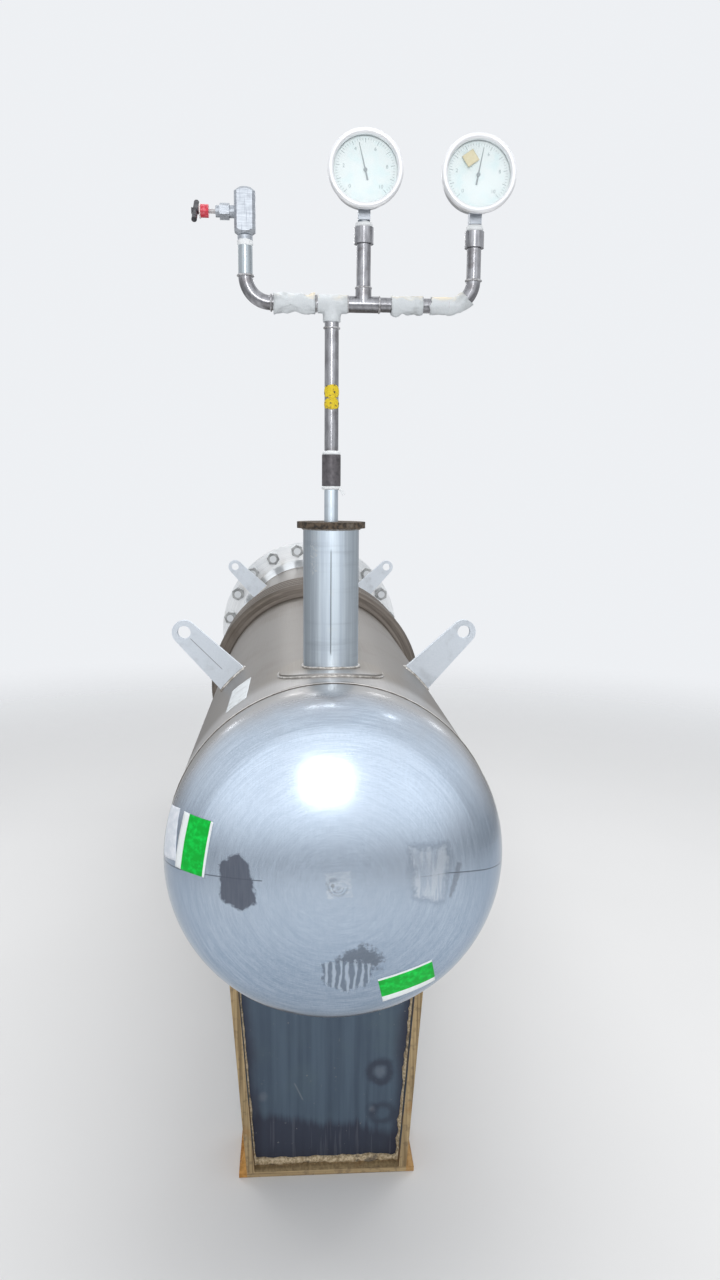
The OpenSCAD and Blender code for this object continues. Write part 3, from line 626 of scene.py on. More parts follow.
lug_turn = math.radians(45)
foot_half = 0.0385
foot_rise = 0.004
for where in ("front", "rear"):
    lug_low, lug_high = box_of(f"{where}_lugs")
    near, far = Vector((0, lug_low.y, 0)), Vector((0, lug_high.y, 0))
    for side, word in ((-1, "left"), (1, "right")):
        out = Vector((side * math.sin(lug_turn), 0, math.cos(lug_turn)))
        half = Vector((out.z, 0, -out.x)) * foot_half
        foot = Vector((0, 0, axis_z)) + out * (shell_r + foot_rise)
        outline = [foot - half + near, foot + half + near, foot + half + far, foot - half + far]
        path = cut_path(draw_path(*outline, closed=True), 12)
        change(path, "SHRINKWRAP", target=nodes[f"{where}_shell"],
               wrap_method="NEAREST_SURFACEPOINT", wrap_mode="ABOVE_SURFACE", offset=0.0005)
        lay_bead(path, f"{where}_{word}_lug_weld", 0.0040, finish=bright_weld)


# Nozzle: a 108 mm pipe stub on a curved reinforcing pad, closed by a rusty blanking disc.
# Weld beads join all three. A centre line is scribed up its front, with a chalk mark
# beside it.
nozzle_r = (nozzle_high.x - nozzle_low.x) / 2
nozzle_finish, tree, surface = new_finish("nozzle_pipe", metallic=0.93, roughness=0.29)
drawn = strokes(tree, (150, 150, 3), 3)
bands = strokes(tree, (6, 6, 70), 3)
haze = speckle(tree, 26, 4)
x, y, z = split(place_of(tree))
tone = blend(fade(drawn, 0.3, 0.7), (0.58, 0.655, 0.735), (0.77, 0.86, 0.93))
tone = blend(fade(bands, 0.5, 0.75, 0, 0.35), tone, (0.40, 0.46, 0.52))
tone = blend(fade(haze, 0.60, 0.72, 0, 0.5), tone, (0.74, 0.80, 0.84))
# Painted shade: the pipe's left and right sides are darker, the left more.
painted_flank_shade = fade(abs(x), nozzle_r * 0.5, nozzle_r) * fade(x, 0, -nozzle_r, 0.35, 0.7)
tone = blend(painted_flank_shade, tone, (0.30, 0.345, 0.385))
front_side = calc("LESS_THAN", y, nozzle_y)
line_middle = nozzle_high.z - 0.140
line = fade(abs(x + 0.002), 0.0012, 0.0006)
line = line * front_side * fade(abs(z - line_middle), 0.104, 0.094)
tone = blend(line * 0.8, tone, (0.06, 0.065, 0.07))
chalk_x = fade(abs(x + 0.034), 0.009, 0.004)
chalk_z = fade(abs(z - (nozzle_high.z - 0.058)), 0.034, 0.024)
chalk = chalk_x * chalk_z * front_side
chalk = chalk * fade(speckle(tree, 210), 0.52, 0.6)
tone = blend(chalk * 0.8, tone, (0.80, 0.84, 0.86))
paint(surface, tone)
relief(surface, drawn + haze, strength=0.12, depth=0.0006)
dress(nozzle_finish, "nozzle_pipe")

rust_finish, tree, surface = new_finish("rusted_plate", metallic=0.15, roughness=0.75)
crust = speckle(tree, 130, 5)
bloom = speckle(tree, 34, 4)
tone = blend(fade(crust, 0.35, 0.65), (0.030, 0.024, 0.019), (0.135, 0.100, 0.070))
tone = blend(fade(bloom, 0.55, 0.7, 0, 0.6), tone, (0.20, 0.175, 0.145))
paint(surface, tone)
relief(surface, crust, strength=0.5, depth=0.0012)
dress(rust_finish, "blanking_disc")


def ring_path(centre, radius, axis="Z", cuts=96):
    """A ring of edges about an axis."""
    select_only()
    turn = {"X": (0, math.pi / 2, 0), "Y": (math.pi / 2, 0, 0), "Z": (0, 0, 0)}[axis]
    bpy.ops.mesh.primitive_circle_add(vertices=cuts, radius=radius, location=centre, rotation=turn)
    path = bpy.context.object
    fix_place()
    return path


pad_low, pad_high = box_of("nozzle_pad")
pad_r = (pad_high.x - pad_low.x) / 2
for name, radius, target, thickness in (("pad_weld", pad_r, "front_shell", 0.0026),
                                        ("nozzle_weld", nozzle_r, "nozzle_pad", 0.0030)):
    path = ring_path((0, nozzle_y, pad_high.z + 0.05), radius + 0.0015, cuts=128)
    change(path, "SHRINKWRAP", target=nodes[target], wrap_method="PROJECT", use_project_z=True,
           use_negative_direction=True, use_positive_direction=False, offset=0.001)
    lay_bead(path, name, thickness, finish=bright_weld)
lay_bead(ring_path((0, nozzle_y, nozzle_high.z - 0.001), nozzle_r + 0.001), "disc_weld", 0.0024)


# Test tree, lower half: stub pipe, dark oiled coupling with thread tape squeezed out at
# both ends, and the main riser, which carries two round yellow tags.
pipe_finish, tree, surface = new_finish("tree_pipe", metallic=0.93, roughness=0.23)
pulled = strokes(tree, (120, 120, 30), 3)
cloudy = speckle(tree, 38, 4)
tone = blend(fade(pulled, 0.3, 0.7), (0.25, 0.25, 0.265), (0.40, 0.40, 0.42))
tone = blend(fade(cloudy, 0.5, 0.72, 0, 0.6), tone, (0.14, 0.125, 0.125))
x, _, z = split(place_of(tree))
elbow_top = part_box("left_elbow")[1][2]
pale_riser = fade(x, -0.11, -0.13) * fade(z, elbow_top, elbow_top + 0.003)
tone = blend(pale_riser * 0.8, tone, (0.45, 0.505, 0.535))
paint(surface, tone)
relief(surface, cloudy, strength=0.15, depth=0.0008)
dress(pipe_finish, "main_riser", "main_tee", "left_pipe", "left_elbow", "gauge_tee", "right_pipe",
      "right_elbow", "top_risers", "gauge_sockets")
dress(nozzle_finish, "stub_pipe")

oiled_finish, tree, surface = new_finish("oiled_steel", metallic=0.6, roughness=0.45)
black = speckle(tree, 90, 4)
tone = blend(fade(black, 0.35, 0.65), (0.095, 0.088, 0.095), (0.155, 0.145, 0.155))
paint(surface, tone)
relief(surface, black, strength=0.25, depth=0.0008)
dress(oiled_finish, "stub_coupling")

seal_finish, tree, surface = new_finish("thread_tape", metallic=0.0, roughness=0.5)
fold = strokes(tree, (60, 60, 900), 3)
paint(surface, blend(fold, (0.86, 0.90, 0.92), (0.98, 0.99, 1.0)))
relief(surface, fold, strength=0.5, depth=0.001)
tape_crumple = lumps("tape_crumple", 0.012)


def tape_ring(name, centre, inner, outer, height):
    """A few turns of thread tape, squeezed out of a joint."""
    select_only()
    middle = (inner + outer) / 2
    bpy.ops.mesh.primitive_torus_add(location=centre, major_radius=middle,
                                     minor_radius=(outer - inner) / 2,
                                     major_segments=64, minor_segments=12)
    ring = bpy.context.object
    open_mesh()
    bpy.ops.transform.resize(value=(1, 1, height / (outer - inner)))
    close_mesh()
    roughen(ring, tape_crumple, 0.0035)
    settle(ring, name, seal_finish)


coupling_low, coupling_high = box_of("stub_coupling")
riser_low, riser_high = box_of("main_riser")
pipe_r = (riser_high.x - riser_low.x) / 2
tape_in = pipe_r - 0.002
tape_ring("coupling_tape_low", (0, nozzle_y, coupling_low.z - 0.003), tape_in, pipe_r + 0.005,
          height=0.008)
tape_ring("coupling_tape_high", (0, nozzle_y, coupling_high.z + 0.003), tape_in, pipe_r + 0.004,
          height=0.009)

select_only()
bpy.ops.mesh.primitive_grid_add(x_subdivisions=4, y_subdivisions=12, size=1,
                                rotation=(math.pi / 2, -0.65, 0.5),
                                location=(pipe_r + 0.006, nozzle_y - 0.008, coupling_low.z - 0.009))
tape_tail = bpy.context.object
tape_tail.scale = (0.006, 0.018, 1)
fix_place()
roughen(tape_tail, tape_crumple, 0.006)
change(tape_tail, "SOLIDIFY", thickness=0.0004, offset=0)
settle(tape_tail, "coupling_tape_tail", seal_finish)

tag_finish, tree, surface = new_finish("yellow_tag", metallic=0.0, roughness=0.5)
rub = speckle(tree, 130, 4)
tone = blend(fade(rub, 0.45, 0.7), (0.80, 0.60, 0.02), (0.62, 0.42, 0.03))
paint(surface, blend(fade(rub, 0.56, 0.62), tone, (0.07, 0.06, 0.03)))
relief(surface, rub, strength=0.2, depth=0.0005)
wrap_r = pipe_r + 0.0008
wrap_angle = 2.75
for name, height, tall in (("tag_high", axis_z + 0.8335, 0.026),
                           ("tag_low", axis_z + 0.811, 0.021)):
    select_only()
    bpy.ops.mesh.primitive_circle_add(vertices=48, radius=0.5, fill_type="NGON",
                                      rotation=(math.pi / 2, 0, 0))
    tag = bpy.context.object
    fix_place()
    open_mesh()
    bpy.ops.mesh.poke()
    bpy.ops.mesh.subdivide(number_cuts=5)
    bpy.ops.transform.resize(value=(wrap_r * wrap_angle, 1, tall))
    close_mesh()
    roughen(tag, tape_crumple, 0.005, direction="Z")
    change(tag, "SIMPLE_DEFORM", deform_method="BEND", deform_axis="Z", angle=wrap_angle)
    tag.location = (0, nozzle_y - wrap_r, height)
    change(tag, "SOLIDIFY", thickness=0.0006, offset=0)
    settle(tag, name, tag_finish)


# Test tree, upper half: tees and elbows welded to short lengths of pipe, a bead at each
# joint, and masking tape wrapped in uneven turns over four stretches of the manifold.
tee_low, tee_high = box_of("gauge_tee")
left_low, left_high = box_of("left_elbow")
right_low, right_high = box_of("right_elbow")
main_tee_low, main_tee_high = box_of("main_tee")
tee_r = (main_tee_high.y - main_tee_low.y) / 2
manifold_z = main_tee_high.z - tee_r
joint_rings = (
    ("elbow_weld_left_in", (left_high.x, nozzle_y, manifold_z), "X"),
    ("elbow_weld_left_up", (left_low.x + pipe_r, nozzle_y, left_high.z), "Z"),
    ("elbow_weld_right_in", (right_low.x, nozzle_y, manifold_z), "X"),
    ("elbow_weld_right_up", (right_high.x - pipe_r, nozzle_y, right_high.z), "Z"),
    ("tee_weld_left", (main_tee_low.x, nozzle_y, manifold_z), "X"),
    ("tee_weld_middle", (tee_low.x, nozzle_y, manifold_z), "X"),
    ("tee_weld_right", (tee_high.x, nozzle_y, manifold_z), "X"),
    ("tee_weld_up", ((tee_low.x + tee_high.x) / 2, nozzle_y, tee_high.z), "Z"),
    ("tee_weld_down", (0, nozzle_y, main_tee_low.z), "Z"),
    ("riser_ring", (0, nozzle_y, main_tee_low.z - 0.014), "Z"),
)
ring_finish, tree, surface = new_finish("pipe_weld", metallic=0.85, roughness=0.32)
bright = speckle(tree, 150, 3)
tone = blend(fade(bright, 0.35, 0.65), (0.34, 0.33, 0.33), (0.66, 0.66, 0.68))
paint(surface, tone)
relief(surface, bright, strength=0.3, depth=0.0008)
for name, centre, axis in joint_rings:
    path = ring_path(centre, pipe_r + 0.0008, axis, cuts=48)
    lay_bead(path, name, 0.0021, finish=ring_finish, ripple=0.0008)


tape_fray = lumps("tape_fray", 0.02)


def fray_tape(tape, *pipes):
    """Crumples a sleeve of tape, frays its ends, lays it on its pipes and thickens it."""
    roughen(tape, tape_crumple, 0.0035, middle=0.4)
    roughen(tape, tape_fray, 0.018, direction="X")
    roughen(tape, tape_crumple, 0.003, middle=0.4, direction="Z")
    for pipe in pipes:
        change(tape, "SHRINKWRAP", target=nodes[pipe], wrap_mode="OUTSIDE", offset=0.0008)
    change(tape, "SOLIDIFY", thickness=0.0007, offset=0)


along_x = (0, math.pi / 2, 0)


def wrap_tape(name, start, end, pipe):
    """Uneven turns of tape round a level pipe."""
    select_only()
    bpy.ops.mesh.primitive_cylinder_add(vertices=48, radius=pipe_r + 0.0028, depth=end - start,
                                        end_fill_type="NOTHING", rotation=along_x,
                                        location=((start + end) / 2, nozzle_y, manifold_z))
    tape = bpy.context.object
    open_mesh()
    bpy.ops.mesh.subdivide(number_cuts=11)
    close_mesh()
    fray_tape(tape, pipe)
    settle(tape, name, tape_finish)


right_tape_start, right_tape_end = 0.1105, 0.1705
wrap_tape("tape_left", left_high.x + 0.004, main_tee_low.x - 0.002, "left_pipe")
wrap_tape("tape_right", right_tape_start, right_tape_end, "right_pipe")

select_only()
bpy.ops.mesh.primitive_cylinder_add(vertices=48, radius=tee_r + 0.0016, depth=0.056,
                                    location=(0.001, nozzle_y, manifold_z), rotation=along_x)
tee_tape = bpy.context.object
bpy.ops.mesh.primitive_cylinder_add(vertices=48, radius=tee_r + 0.0014, depth=0.034,
                                    location=(0, nozzle_y, manifold_z - 0.016))
branch = bpy.context.object
select_only(tee_tape, branch)
bpy.ops.object.join()
change(tee_tape, "REMESH", mode="VOXEL", voxel_size=0.0018)
roughen(tee_tape, tape_crumple, 0.0035, middle=0.4)
change(tee_tape, "SMOOTH", factor=0.5, iterations=2)
settle(tee_tape, "tape_tee", tape_finish)

straight_steps, straight_step = 6, 0.0053
bend_start = right_low.x - 0.032
bend_turn = math.radians(46)
select_only()
bpy.ops.mesh.primitive_circle_add(vertices=40, radius=pipe_r + 0.0030, rotation=along_x,
                                  location=(bend_start, nozzle_y, manifold_z))
bend_tape = bpy.context.object
fix_place()
open_mesh()
for _ in range(straight_steps):
    bpy.ops.mesh.extrude_region_move(TRANSFORM_OT_translate={"value": (straight_step, 0, 0)})
bpy.ops.mesh.spin(steps=12, angle=bend_turn, center=(right_low.x, nozzle_y, right_high.z),
                  axis=(0, 1, 0))
close_mesh()
fray_tape(bend_tape, "right_pipe", "right_elbow")
settle(bend_tape, "tape_bend", tape_finish)

valve_low, valve_high = box_of("valve_body")
valve_x = (valve_low.x + valve_high.x) / 2
tape_ring("valve_tape", (valve_x, nozzle_y, valve_low.z + 0.002), tape_in, pipe_r + 0.0012,
          height=0.012)
socket_low, socket_high = box_of("gauge_sockets")
centre_x = (tee_low.x + tee_high.x) / 2
right_x = right_high.x - pipe_r
socket_length = 0.029
right_socket_top = socket_low.z + socket_length
stem_in, stem_out = 0.008, 0.0165
tape_ring("socket_tape_centre", (centre_x, nozzle_y, socket_high.z + 0.004), stem_in, stem_out,
          height=0.011)
tape_ring("socket_tape_right", (right_x, nozzle_y, right_socket_top + 0.005), stem_in, stem_out,
          height=0.013)


# Needle valve: bright stainless bar with turned ends, its bonnet in line with it, and a
# handle that turns: a spindle with a red grip sleeve, a pale ring on the sleeve's end
# and a dark cross bar.
valve_finish, tree, surface = new_finish("bright_stainless", metallic=0.8, roughness=0.42)
milled = strokes(tree, (60, 60, 600), 2)
tone = blend(fade(milled, 0.3, 0.7), (0.40, 0.43, 0.47), (0.54, 0.575, 0.62))
tone = blend(fade(speckle(tree, 55, 4), 0.58, 0.72, 0, 0.5), tone, (0.26, 0.28, 0.31))
scratched = fade(strokes(tree, (520, 60, 22), 2), 0.60, 0.70, 0, 0.6)
tone = blend(scratched, tone, (0.20, 0.22, 0.27))
paint(surface, tone)
relief(surface, milled, strength=0.02, depth=0.0003)
dress(valve_finish, "valve_body", "valve_bonnet", "gauge_stems")

bonnet_low, bonnet_high = box_of("valve_bonnet")
bare_spindle, sleeve_length = 0.013, 0.017
sleeve_end = bonnet_low.x - bare_spindle
sleeve_far = sleeve_end - sleeve_length
grip_finish, tree, surface = new_finish("valve_grip", metallic=0.25, roughness=0.4)
x = split(place_of(tree))[0]
scuff = speckle(tree, 140, 4)
red = blend(fade(scuff, 0.4, 0.7), (0.62, 0.035, 0.06), (0.80, 0.22, 0.26))
dark = blend(fade(scuff, 0.4, 0.7), (0.03, 0.03, 0.035), (0.10, 0.10, 0.11))
steel = blend(scuff, (0.35, 0.35, 0.36), (0.62, 0.62, 0.62))
on_sleeve = calc("LESS_THAN", x, sleeve_end + 0.0002)
past_sleeve = calc("LESS_THAN", x, sleeve_far - 0.0002)
paint(surface, blend(past_sleeve, blend(on_sleeve, steel, red), dark))
relief(surface, scuff, strength=0.2, depth=0.0005)
dress(grip_finish, "valve_handle")

collar_finish, tree, surface = new_finish("grip_collar", metallic=0.0, roughness=0.4)
paint(surface, blend(speckle(tree, 120), (0.60, 0.58, 0.56), (0.85, 0.84, 0.82)))
select_only()
valve_z = (bonnet_low.z + bonnet_high.z) / 2
collar_r, collar_width = 0.0135, 0.0022
bpy.ops.mesh.primitive_cylinder_add(vertices=48, radius=collar_r, depth=collar_width,
                                    location=(sleeve_far + 0.0015, nozzle_y, valve_z),
                                    rotation=along_x)
collar = bpy.context.object
change(collar, "BEVEL", width=0.0007, segments=2)
settle(collar, "grip_collar", collar_finish, body="valve_handle")


# Pressure gauges: a pressed steel case, a rolled bright bezel and a flat clear window over
# a pale enamelled dial with fine scale marks, figures and a needle. A dab of yellowed
# paper sticks to the right one's window.
case_finish, tree, surface = new_finish("gauge_rim", metallic=0.45, roughness=0.35)
spun = speckle(tree, 300, 2)
paint(surface, blend(spun, (0.88, 0.89, 0.91), (0.96, 0.965, 0.98)))
relief(surface, spun, strength=0.02, depth=0.0003)
dress(case_finish, "gauge_bezels")

pressed_finish, tree, surface = new_finish("pressed_case", metallic=0.85, roughness=0.3)
smear = speckle(tree, 24, 4)
tone = blend(strokes(tree, (40, 700, 40), 2), (0.55, 0.56, 0.575), (0.68, 0.69, 0.705))
paint(surface, blend(fade(smear, 0.5, 0.72, 0, 0.5), tone, (0.47, 0.46, 0.44)))
feed(surface.inputs["Roughness"], fade(smear, 0.3, 0.7, 0.22, 0.36))
dress(pressed_finish, "gauge_cases")

dial_finish, tree, surface = new_finish("enamel_dial", metallic=0.0, roughness=0.35)
faint = speckle(tree, 45, 4)
paint(surface, blend(fade(faint, 0.4, 0.7), (0.93, 1.0, 1.0), (0.85, 0.98, 0.99)))
relief(surface, faint, strength=0.02, depth=0.0003)
dress(dial_finish, "gauge_dials")

window_finish, tree, surface = new_finish("clear_window", metallic=0.0, roughness=0.05)
surface.inputs["Alpha"].default_value = 0.05
paint(surface, blend(speckle(tree, 60), (0.86, 0.97, 0.97), (0.95, 1.0, 1.0)))
dress(window_finish, "gauge_windows")

needle_finish, tree, surface = new_finish("needle_paint", metallic=0.0, roughness=0.4)
paint(surface, blend(speckle(tree, 200), (0.30, 0.34, 0.36), (0.42, 0.46, 0.48)))
dress(needle_finish, "gauge_pointers")

print_finish, tree, surface = new_finish("dial_print", metallic=0.0, roughness=0.5)
paint(surface, blend(speckle(tree, 200), (0.34, 0.40, 0.42), (0.46, 0.53, 0.55)))

dial_low, dial_high = box_of("gauge_dials")
dial_face = dial_low.y
dial_r = dial_high.x - right_x
right_dial = Vector((right_x, dial_face, dial_low.z + dial_r))
centre_dial = Vector((centre_x, dial_face, dial_high.z - dial_r))
divisions, scale_start, scale_sweep = 50, -135, 270
scale_r, figure_r, figure_height = 0.0545, 0.040, 0.009
mark_lift, figure_lift = 0.00012, 0.00005
for word, dial in (("centre", centre_dial), ("right", right_dial)):
    marks = []
    for step in range(divisions + 1):
        turn = math.radians(scale_start + step * scale_sweep / divisions)
        width, length = (0.0009, 0.0075) if step % 5 == 0 else (0.0005, 0.004)
        middle = scale_r - length / 2
        place = (dial.x + middle * math.sin(turn), dial.y - mark_lift,
                 dial.z + middle * math.cos(turn))
        select_only()
        bpy.ops.mesh.primitive_cube_add(size=1, scale=(width, 0.00025, length), location=place,
                                        rotation=(0, turn, 0))
        marks.append(bpy.context.object)
    for figure in range(0, 11, 2):
        turn = math.radians(scale_start + figure * scale_sweep / 10)
        place = (dial.x + figure_r * math.sin(turn), dial.y - figure_lift,
                 dial.z + figure_r * math.cos(turn))
        select_only()
        bpy.ops.object.text_add(location=place, rotation=(math.pi / 2, 0, 0))
        words = bpy.context.object
        words.data.body = str(figure)
        words.data.size = figure_height
        words.data.align_x = "CENTER"
        words.data.align_y = "CENTER"
        words.data.extrude = 0.0001
        bpy.ops.object.convert(target="MESH")
        marks.append(bpy.context.object)
    select_only(*marks)
    bpy.ops.object.join()
    settle(marks[0], f"dial_marks_{word}", print_finish, smooth=False)

dab_finish, tree, surface = new_finish("yellowed_paper", metallic=0.0, roughness=0.6)
paint(surface, blend(speckle(tree, 160, 4), (0.70, 0.62, 0.38), (0.86, 0.82, 0.62)))
window_low = Vector(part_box("gauge_windows")[0])
select_only()
bpy.ops.mesh.primitive_grid_add(x_subdivisions=10, y_subdivisions=10, size=1)
dab = bpy.context.object
dab_place = (right_x - 0.016, window_low.y - 0.0003, right_dial.z + 0.026)
dab_length, dab_width, dab_turn = 0.024, 0.022, 0.6
dab.matrix_world = (Matrix.Translation(dab_place) @ Matrix.Rotation(math.pi / 2, 4, "X")
                    @ Matrix.Rotation(dab_turn, 4, "Z")
                    @ Matrix.Diagonal((dab_length, dab_width, 1, 1)))
fix_place()
roughen(dab, label_curl, 0.0004)
change(dab, "SOLIDIFY", thickness=0.0002, offset=0)
settle(dab, "window_dab", dab_finish)


# Saddles: two side plates and two set-back webs on a base plate, with small gussets at the
# corners, all welded. Broad faces keep their dark mill scale; flame-cut edges and the
# base are rusty.
front_web_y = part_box("front_saddle_webs")[0][1]
saddle_foot = 0.183
side_plate = 0.018
base_plate = 0.012
side_lean = math.tan(math.radians(4.1))
web_finish, tree, surface = new_finish("mill_scale", metallic=0.35, roughness=0.45)
x, y, z = split(place_of(tree))
runs = strokes(tree, (60, 60, 2.0), 4)
drips = fade(strokes(tree, (130, 10, 5), 2), 0.56, 0.66)
clouds = speckle(tree, 7, 5)
smudge = speckle(tree, 30, 4)
tone = blend(fade(runs, 0.3, 0.72), (0.060, 0.088, 0.128), (0.090, 0.130, 0.178))
tone = blend(fade(clouds, 0.48, 0.75, 0, 0.5), tone, (0.092, 0.135, 0.160))
# Painted shade: the web darkens near the side plates, in the corners where they meet it.
inner = abs(x) - z * side_lean + clouds * 0.05
tone = blend(fade(inner, 0.155, 0.190, 0, 0.75), tone, (0.034, 0.032, 0.056))
# Below a slanting line the web is darker, with paler strokes in that zone.
dark_lower_zone = fade(z + x * 0.17 + (clouds + runs) * 0.05, 0.175, 0.145)
tone = blend(dark_lower_zone * 0.8, tone, (0.030, 0.032, 0.054))
tone = blend(drips * dark_lower_zone * 0.35, tone, (0.12, 0.13, 0.16))
on_front = calc("LESS_THAN", y, front_web_y + 0.003)
water_spots = ((0.122, 0.235, 0.024, 0.65, 0.35), (0.105, 0.140, 0.012, 0.2, 0.7),
               (0.128, 0.128, 0.022, 0.5, 0.0), (-0.146, 0.180, 0.018, 0.0, 0.3))
for spot_x, spot_z, spot_r, ring, middle in water_spots:
    far = radius_of(x - spot_x, z - spot_z)
    far = far + (smudge - 0.5) * (spot_r * 1.1)
    rim = fade(abs(far - spot_r), spot_r * 0.75, spot_r * 0.05)
    tone = blend(rim * on_front * ring, tone, (0.028, 0.030, 0.050))
    pale = fade(far, spot_r * 0.9, spot_r * 0.1)
    tone = blend(pale * on_front * middle, tone, (0.20, 0.22, 0.26))
scrape_line = 0.180 - (x + 0.06) * 2.2
scrape = fade(abs(z - scrape_line), 0.006, 0.002)
scrape = scrape * fade(abs(z - 0.190), 0.024, 0.018)
tone = blend(scrape * on_front * 0.4, tone, (0.22, 0.25, 0.28))
fleck = fade(speckle(tree, 120, 5), 0.68, 0.74)
tone = blend(fleck * 0.6, tone, (0.26, 0.26, 0.25))
paint(surface, tone)
feed(surface.inputs["Roughness"], fade(runs, 0.3, 0.7, 0.36, 0.55))
relief(surface, runs + fleck, strength=0.12, depth=0.0008)
dress(web_finish, "front_saddle_webs", "rear_saddle_webs")

edge_finish, tree, surface = new_finish("rusty_edges", metallic=0.1, roughness=0.75)
x, _, z = split(place_of(tree))
crust = speckle(tree, 85, 5)
runs = strokes(tree, (170, 60, 4), 3)
on_base = fade(z, base_plate + 0.0005, base_plate - 0.0005)
runs = runs * (1.0 - on_base) + strokes(tree, (3, 60, 260), 3) * on_base
tone = blend(fade(runs, 0.34, 0.66), (0.20, 0.14, 0.070), (0.46, 0.34, 0.185))
tone = blend(fade(crust, 0.52, 0.68, 0, 0.5), tone, (0.15, 0.105, 0.065))
tone = blend(fade(speckle(tree, 12, 4), 0.56, 0.70, 0, 0.6), tone, (0.30, 0.165, 0.06))
outer = abs(x) - z * side_lean
gusset = fade(outer, saddle_foot - 0.002, saddle_foot + 0.001) * fade(z, 0.090, 0.068)
facing = split(facing_of(tree))
broad = calc("GREATER_THAN", abs(facing[0]), 0.5)
long_scale = fade(strokes(tree, (60, 60, 3), 4), 0.3, 0.72)
scale_tone = blend(long_scale, (0.058, 0.078, 0.105), (0.10, 0.125, 0.155))
rust_bloom = fade(speckle(tree, 14, 5) + fade(z, 0.12, 0.0, 0, 0.2), 0.50, 0.66)
scale_tone = blend(rust_bloom, scale_tone, blend(crust, (0.15, 0.095, 0.055), (0.33, 0.20, 0.10)))
tone = blend(broad, tone, scale_tone)
rusty = gusset * fade(x, 0.05, -0.05, 0.55, 0.95)
tone = blend(rusty, tone, blend(fade(crust, 0.35, 0.65), (0.36, 0.165, 0.035), (0.56, 0.29, 0.075)))
paint(surface, tone)
relief(surface, crust, strength=0.4, depth=0.0012)
dress(edge_finish, "front_saddle_sides", "rear_saddle_sides", "front_saddle_base",
      "rear_saddle_base")

debris_finish, tree, surface = new_finish("weld_and_rust", metallic=0.15, roughness=0.8)
crumbs = speckle(tree, 180, 5)
tone = blend(fade(crumbs, 0.35, 0.65), (0.32, 0.24, 0.14), (0.66, 0.55, 0.38))
tone = blend(fade(speckle(tree, 40, 3), 0.54, 0.66, 0, 0.7), tone, (0.07, 0.06, 0.055))
paint(surface, tone)
relief(surface, crumbs, strength=0.7, depth=0.002)

debris_lumps = lumps("debris_lumps", 0.022)
foot_x = saddle_foot - side_plate + base_plate * side_lean
seam_top = 0.62
strip_z = base_plate + 0.005
foot_bead = 0.0085
top_x = foot_x + (seam_top - base_plate) * side_lean
for place in ("front", "rear"):
    web_low, web_high = box_of(f"{place}_saddle_webs")
    for face, face_y in (("front", web_low.y), ("rear", web_high.y)):
        for side, word, thickness, rough in ((-1, "left", 0.0030, 0.005),
                                             (1, "right", 0.0055, 0.012)):
            path = cut_path(draw_path((side * foot_x, face_y, strip_z),
                                      (side * top_x, face_y, seam_top)), 90)
            lay_bead(path, f"{place}_saddle_{face}_{word}_weld", thickness,
                     finish=debris_finish, ripple=rough, texture=debris_lumps)
        path = cut_path(draw_path((-foot_x, face_y, strip_z), (foot_x, face_y, strip_z)), 60)
        lay_bead(path, f"{place}_saddle_{face}_foot_weld", foot_bead,
                 finish=debris_finish, ripple=0.012, texture=debris_lumps)


# Studio: a pale floor that thins out with distance, and plain soft light. A wide lamp and
# two strips hang overhead and a large lamp stands behind the camera; a bright pane and
# small high lamps are there for the metal to mirror.
select_only()
bpy.ops.mesh.primitive_plane_add(size=60, location=(0, 0, -0.001))
floor = bpy.context.object
floor.name = "floor"
floor_finish, tree, surface = new_finish("pale_floor", metallic=0.0, roughness=0.9, specular=0.1)
paint(surface, blend(speckle(tree, 0.8), (0.74, 0.74, 0.74), (0.77, 0.77, 0.77)))
x, y, _ = split(place_of(tree))
feed(surface.inputs["Alpha"], fade(radius_of(x, y), 2.2, 6.0, 1.0, 0.0))
floor.data.materials.append(floor_finish)

world = bpy.data.worlds.new("studio")
bpy.context.scene.world = world
world.use_nodes = True
tree = world.node_tree
shade = tree.nodes["Background"]
rays = tree.nodes.new("ShaderNodeLightPath")
_, y, z = split(Pattern(tree.nodes.new("ShaderNodeTexCoord").outputs["Generated"]))
overhead = fade(z, -0.20, 0.40, 0.38, 0.95)
ahead = fade(y, -0.15, -0.80) * fade(z, -0.32, 0.20, 0.48, 1.38)
mirrored = larger(overhead, ahead)
plain_light, backdrop = 0.45, 0.9
strength = Pattern(rays.outputs["Is Glossy Ray"]) * (mirrored - plain_light) + plain_light
seen = larger(Pattern(rays.outputs["Is Camera Ray"]), Pattern(rays.outputs["Is Transmission Ray"]))
feed(shade.inputs["Strength"], larger(strength, seen * backdrop))
shade.inputs["Color"].default_value = (0.95, 0.97, 1.0, 1.0)


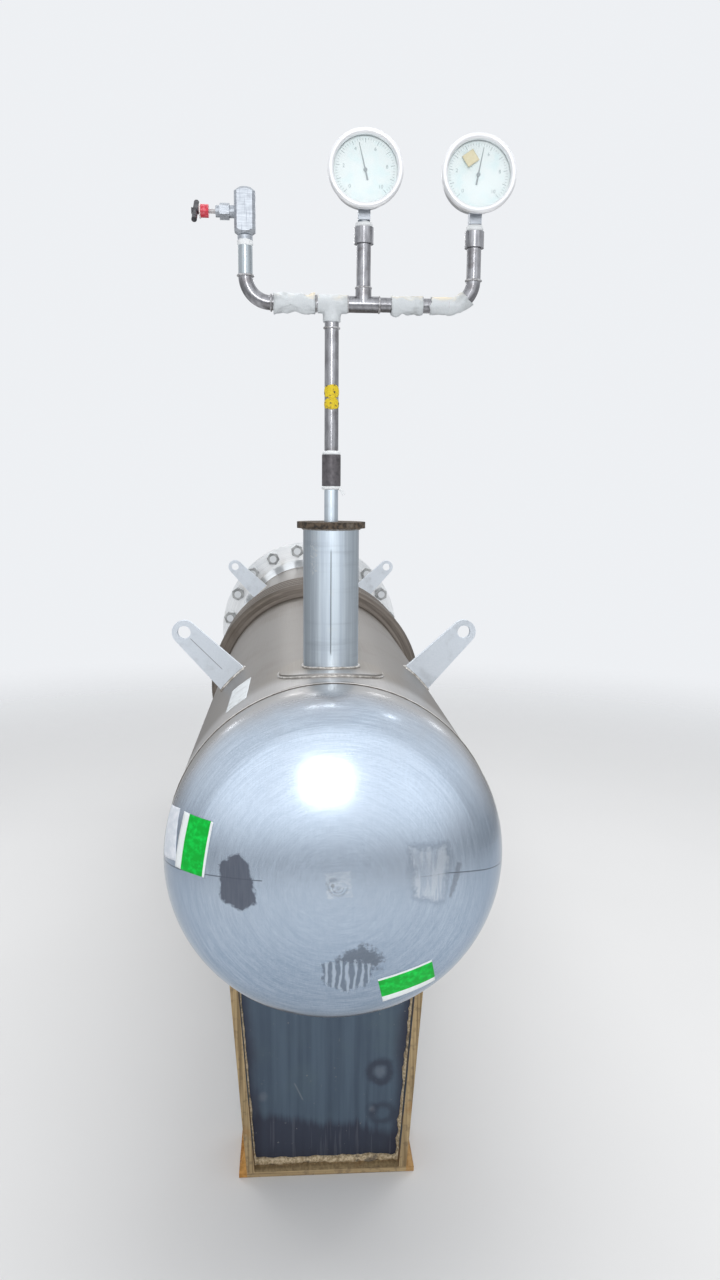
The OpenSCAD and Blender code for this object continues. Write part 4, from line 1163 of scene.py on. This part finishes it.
def soft_lamp(name, place, aim, width, height, power):
    """A flat lamp that faces a point."""
    lamp = bpy.data.lights.new(name, "AREA")
    lamp.shape = "RECTANGLE"
    lamp.size = width
    lamp.size_y = height
    lamp.energy = power
    made = bpy.data.objects.new(name, lamp)
    bpy.context.scene.collection.objects.link(made)
    look = (Vector(aim) - Vector(place)).to_track_quat("-Z", "Y")
    made.matrix_world = Matrix.Translation(place) @ look.to_matrix().to_4x4()
    return made


roof_z = 5.0
roof_lamp = soft_lamp("roof_lamp", (0.3, -0.4, roof_z), (0, -0.4, 0.8), 5.0, 6.0, 175)
roof_lamp.visible_glossy = False
for side, word in ((-1, "left"), (1, "right")):
    skylight = soft_lamp(f"skylight_{word}", (side * 1.5, 1.0, roof_z), (0, 0.2, 0.8),
                         0.35, 5.0, 22)
    skylight.visible_glossy = False
soft_lamp("door_lamp", (-0.18, -5.6, 2.52), (0, -1.5, 1.0), 1.26, 1.02, 24)
front_fill = soft_lamp("front_fill", (-0.22, -5.6, 2.38), (0, -1.5, 1.0), 1.4, 1.0, 55)
front_fill.visible_glossy = False
roof_lights = ((-0.61, -0.76), (-0.02, -0.82), (2.20, -1.15), (-0.58, 3.40), (-1.58, 9.95),
               (2.62, 8.84), (-5.94, 8.23), (6.29, 5.83))
for number, (roof_x, roof_y) in enumerate(roof_lights):
    away = math.hypot(roof_x, roof_y + 1.4, 3.9)
    soft_lamp(f"roof_light_{number}", (roof_x, roof_y, roof_z), (0, -1.4, 1.1),
              0.05 * away, 0.05 * away, 0.075 * away * away)

camera_place = (-0.0706, seam_y - 1.7045, axis_z + 0.6493)
camera_pan, camera_tilt, camera_roll = -0.0685, -0.154, 0.008
camera_data = bpy.data.cameras.new("photo_camera")
camera_data.lens = 27.03
camera_data.sensor_width = 36
camera_data.clip_end = 200
camera = bpy.data.objects.new("photo_camera", camera_data)
bpy.context.scene.collection.objects.link(camera)
camera.matrix_world = (Matrix.Translation(camera_place) @ Matrix.Rotation(camera_pan, 4, "Z")
                       @ Matrix.Rotation(math.pi / 2 + camera_tilt, 4, "X")
                       @ Matrix.Rotation(camera_roll, 4, "Z"))
bpy.context.scene.camera = camera
bpy.context.scene.view_settings.view_transform = "Standard"
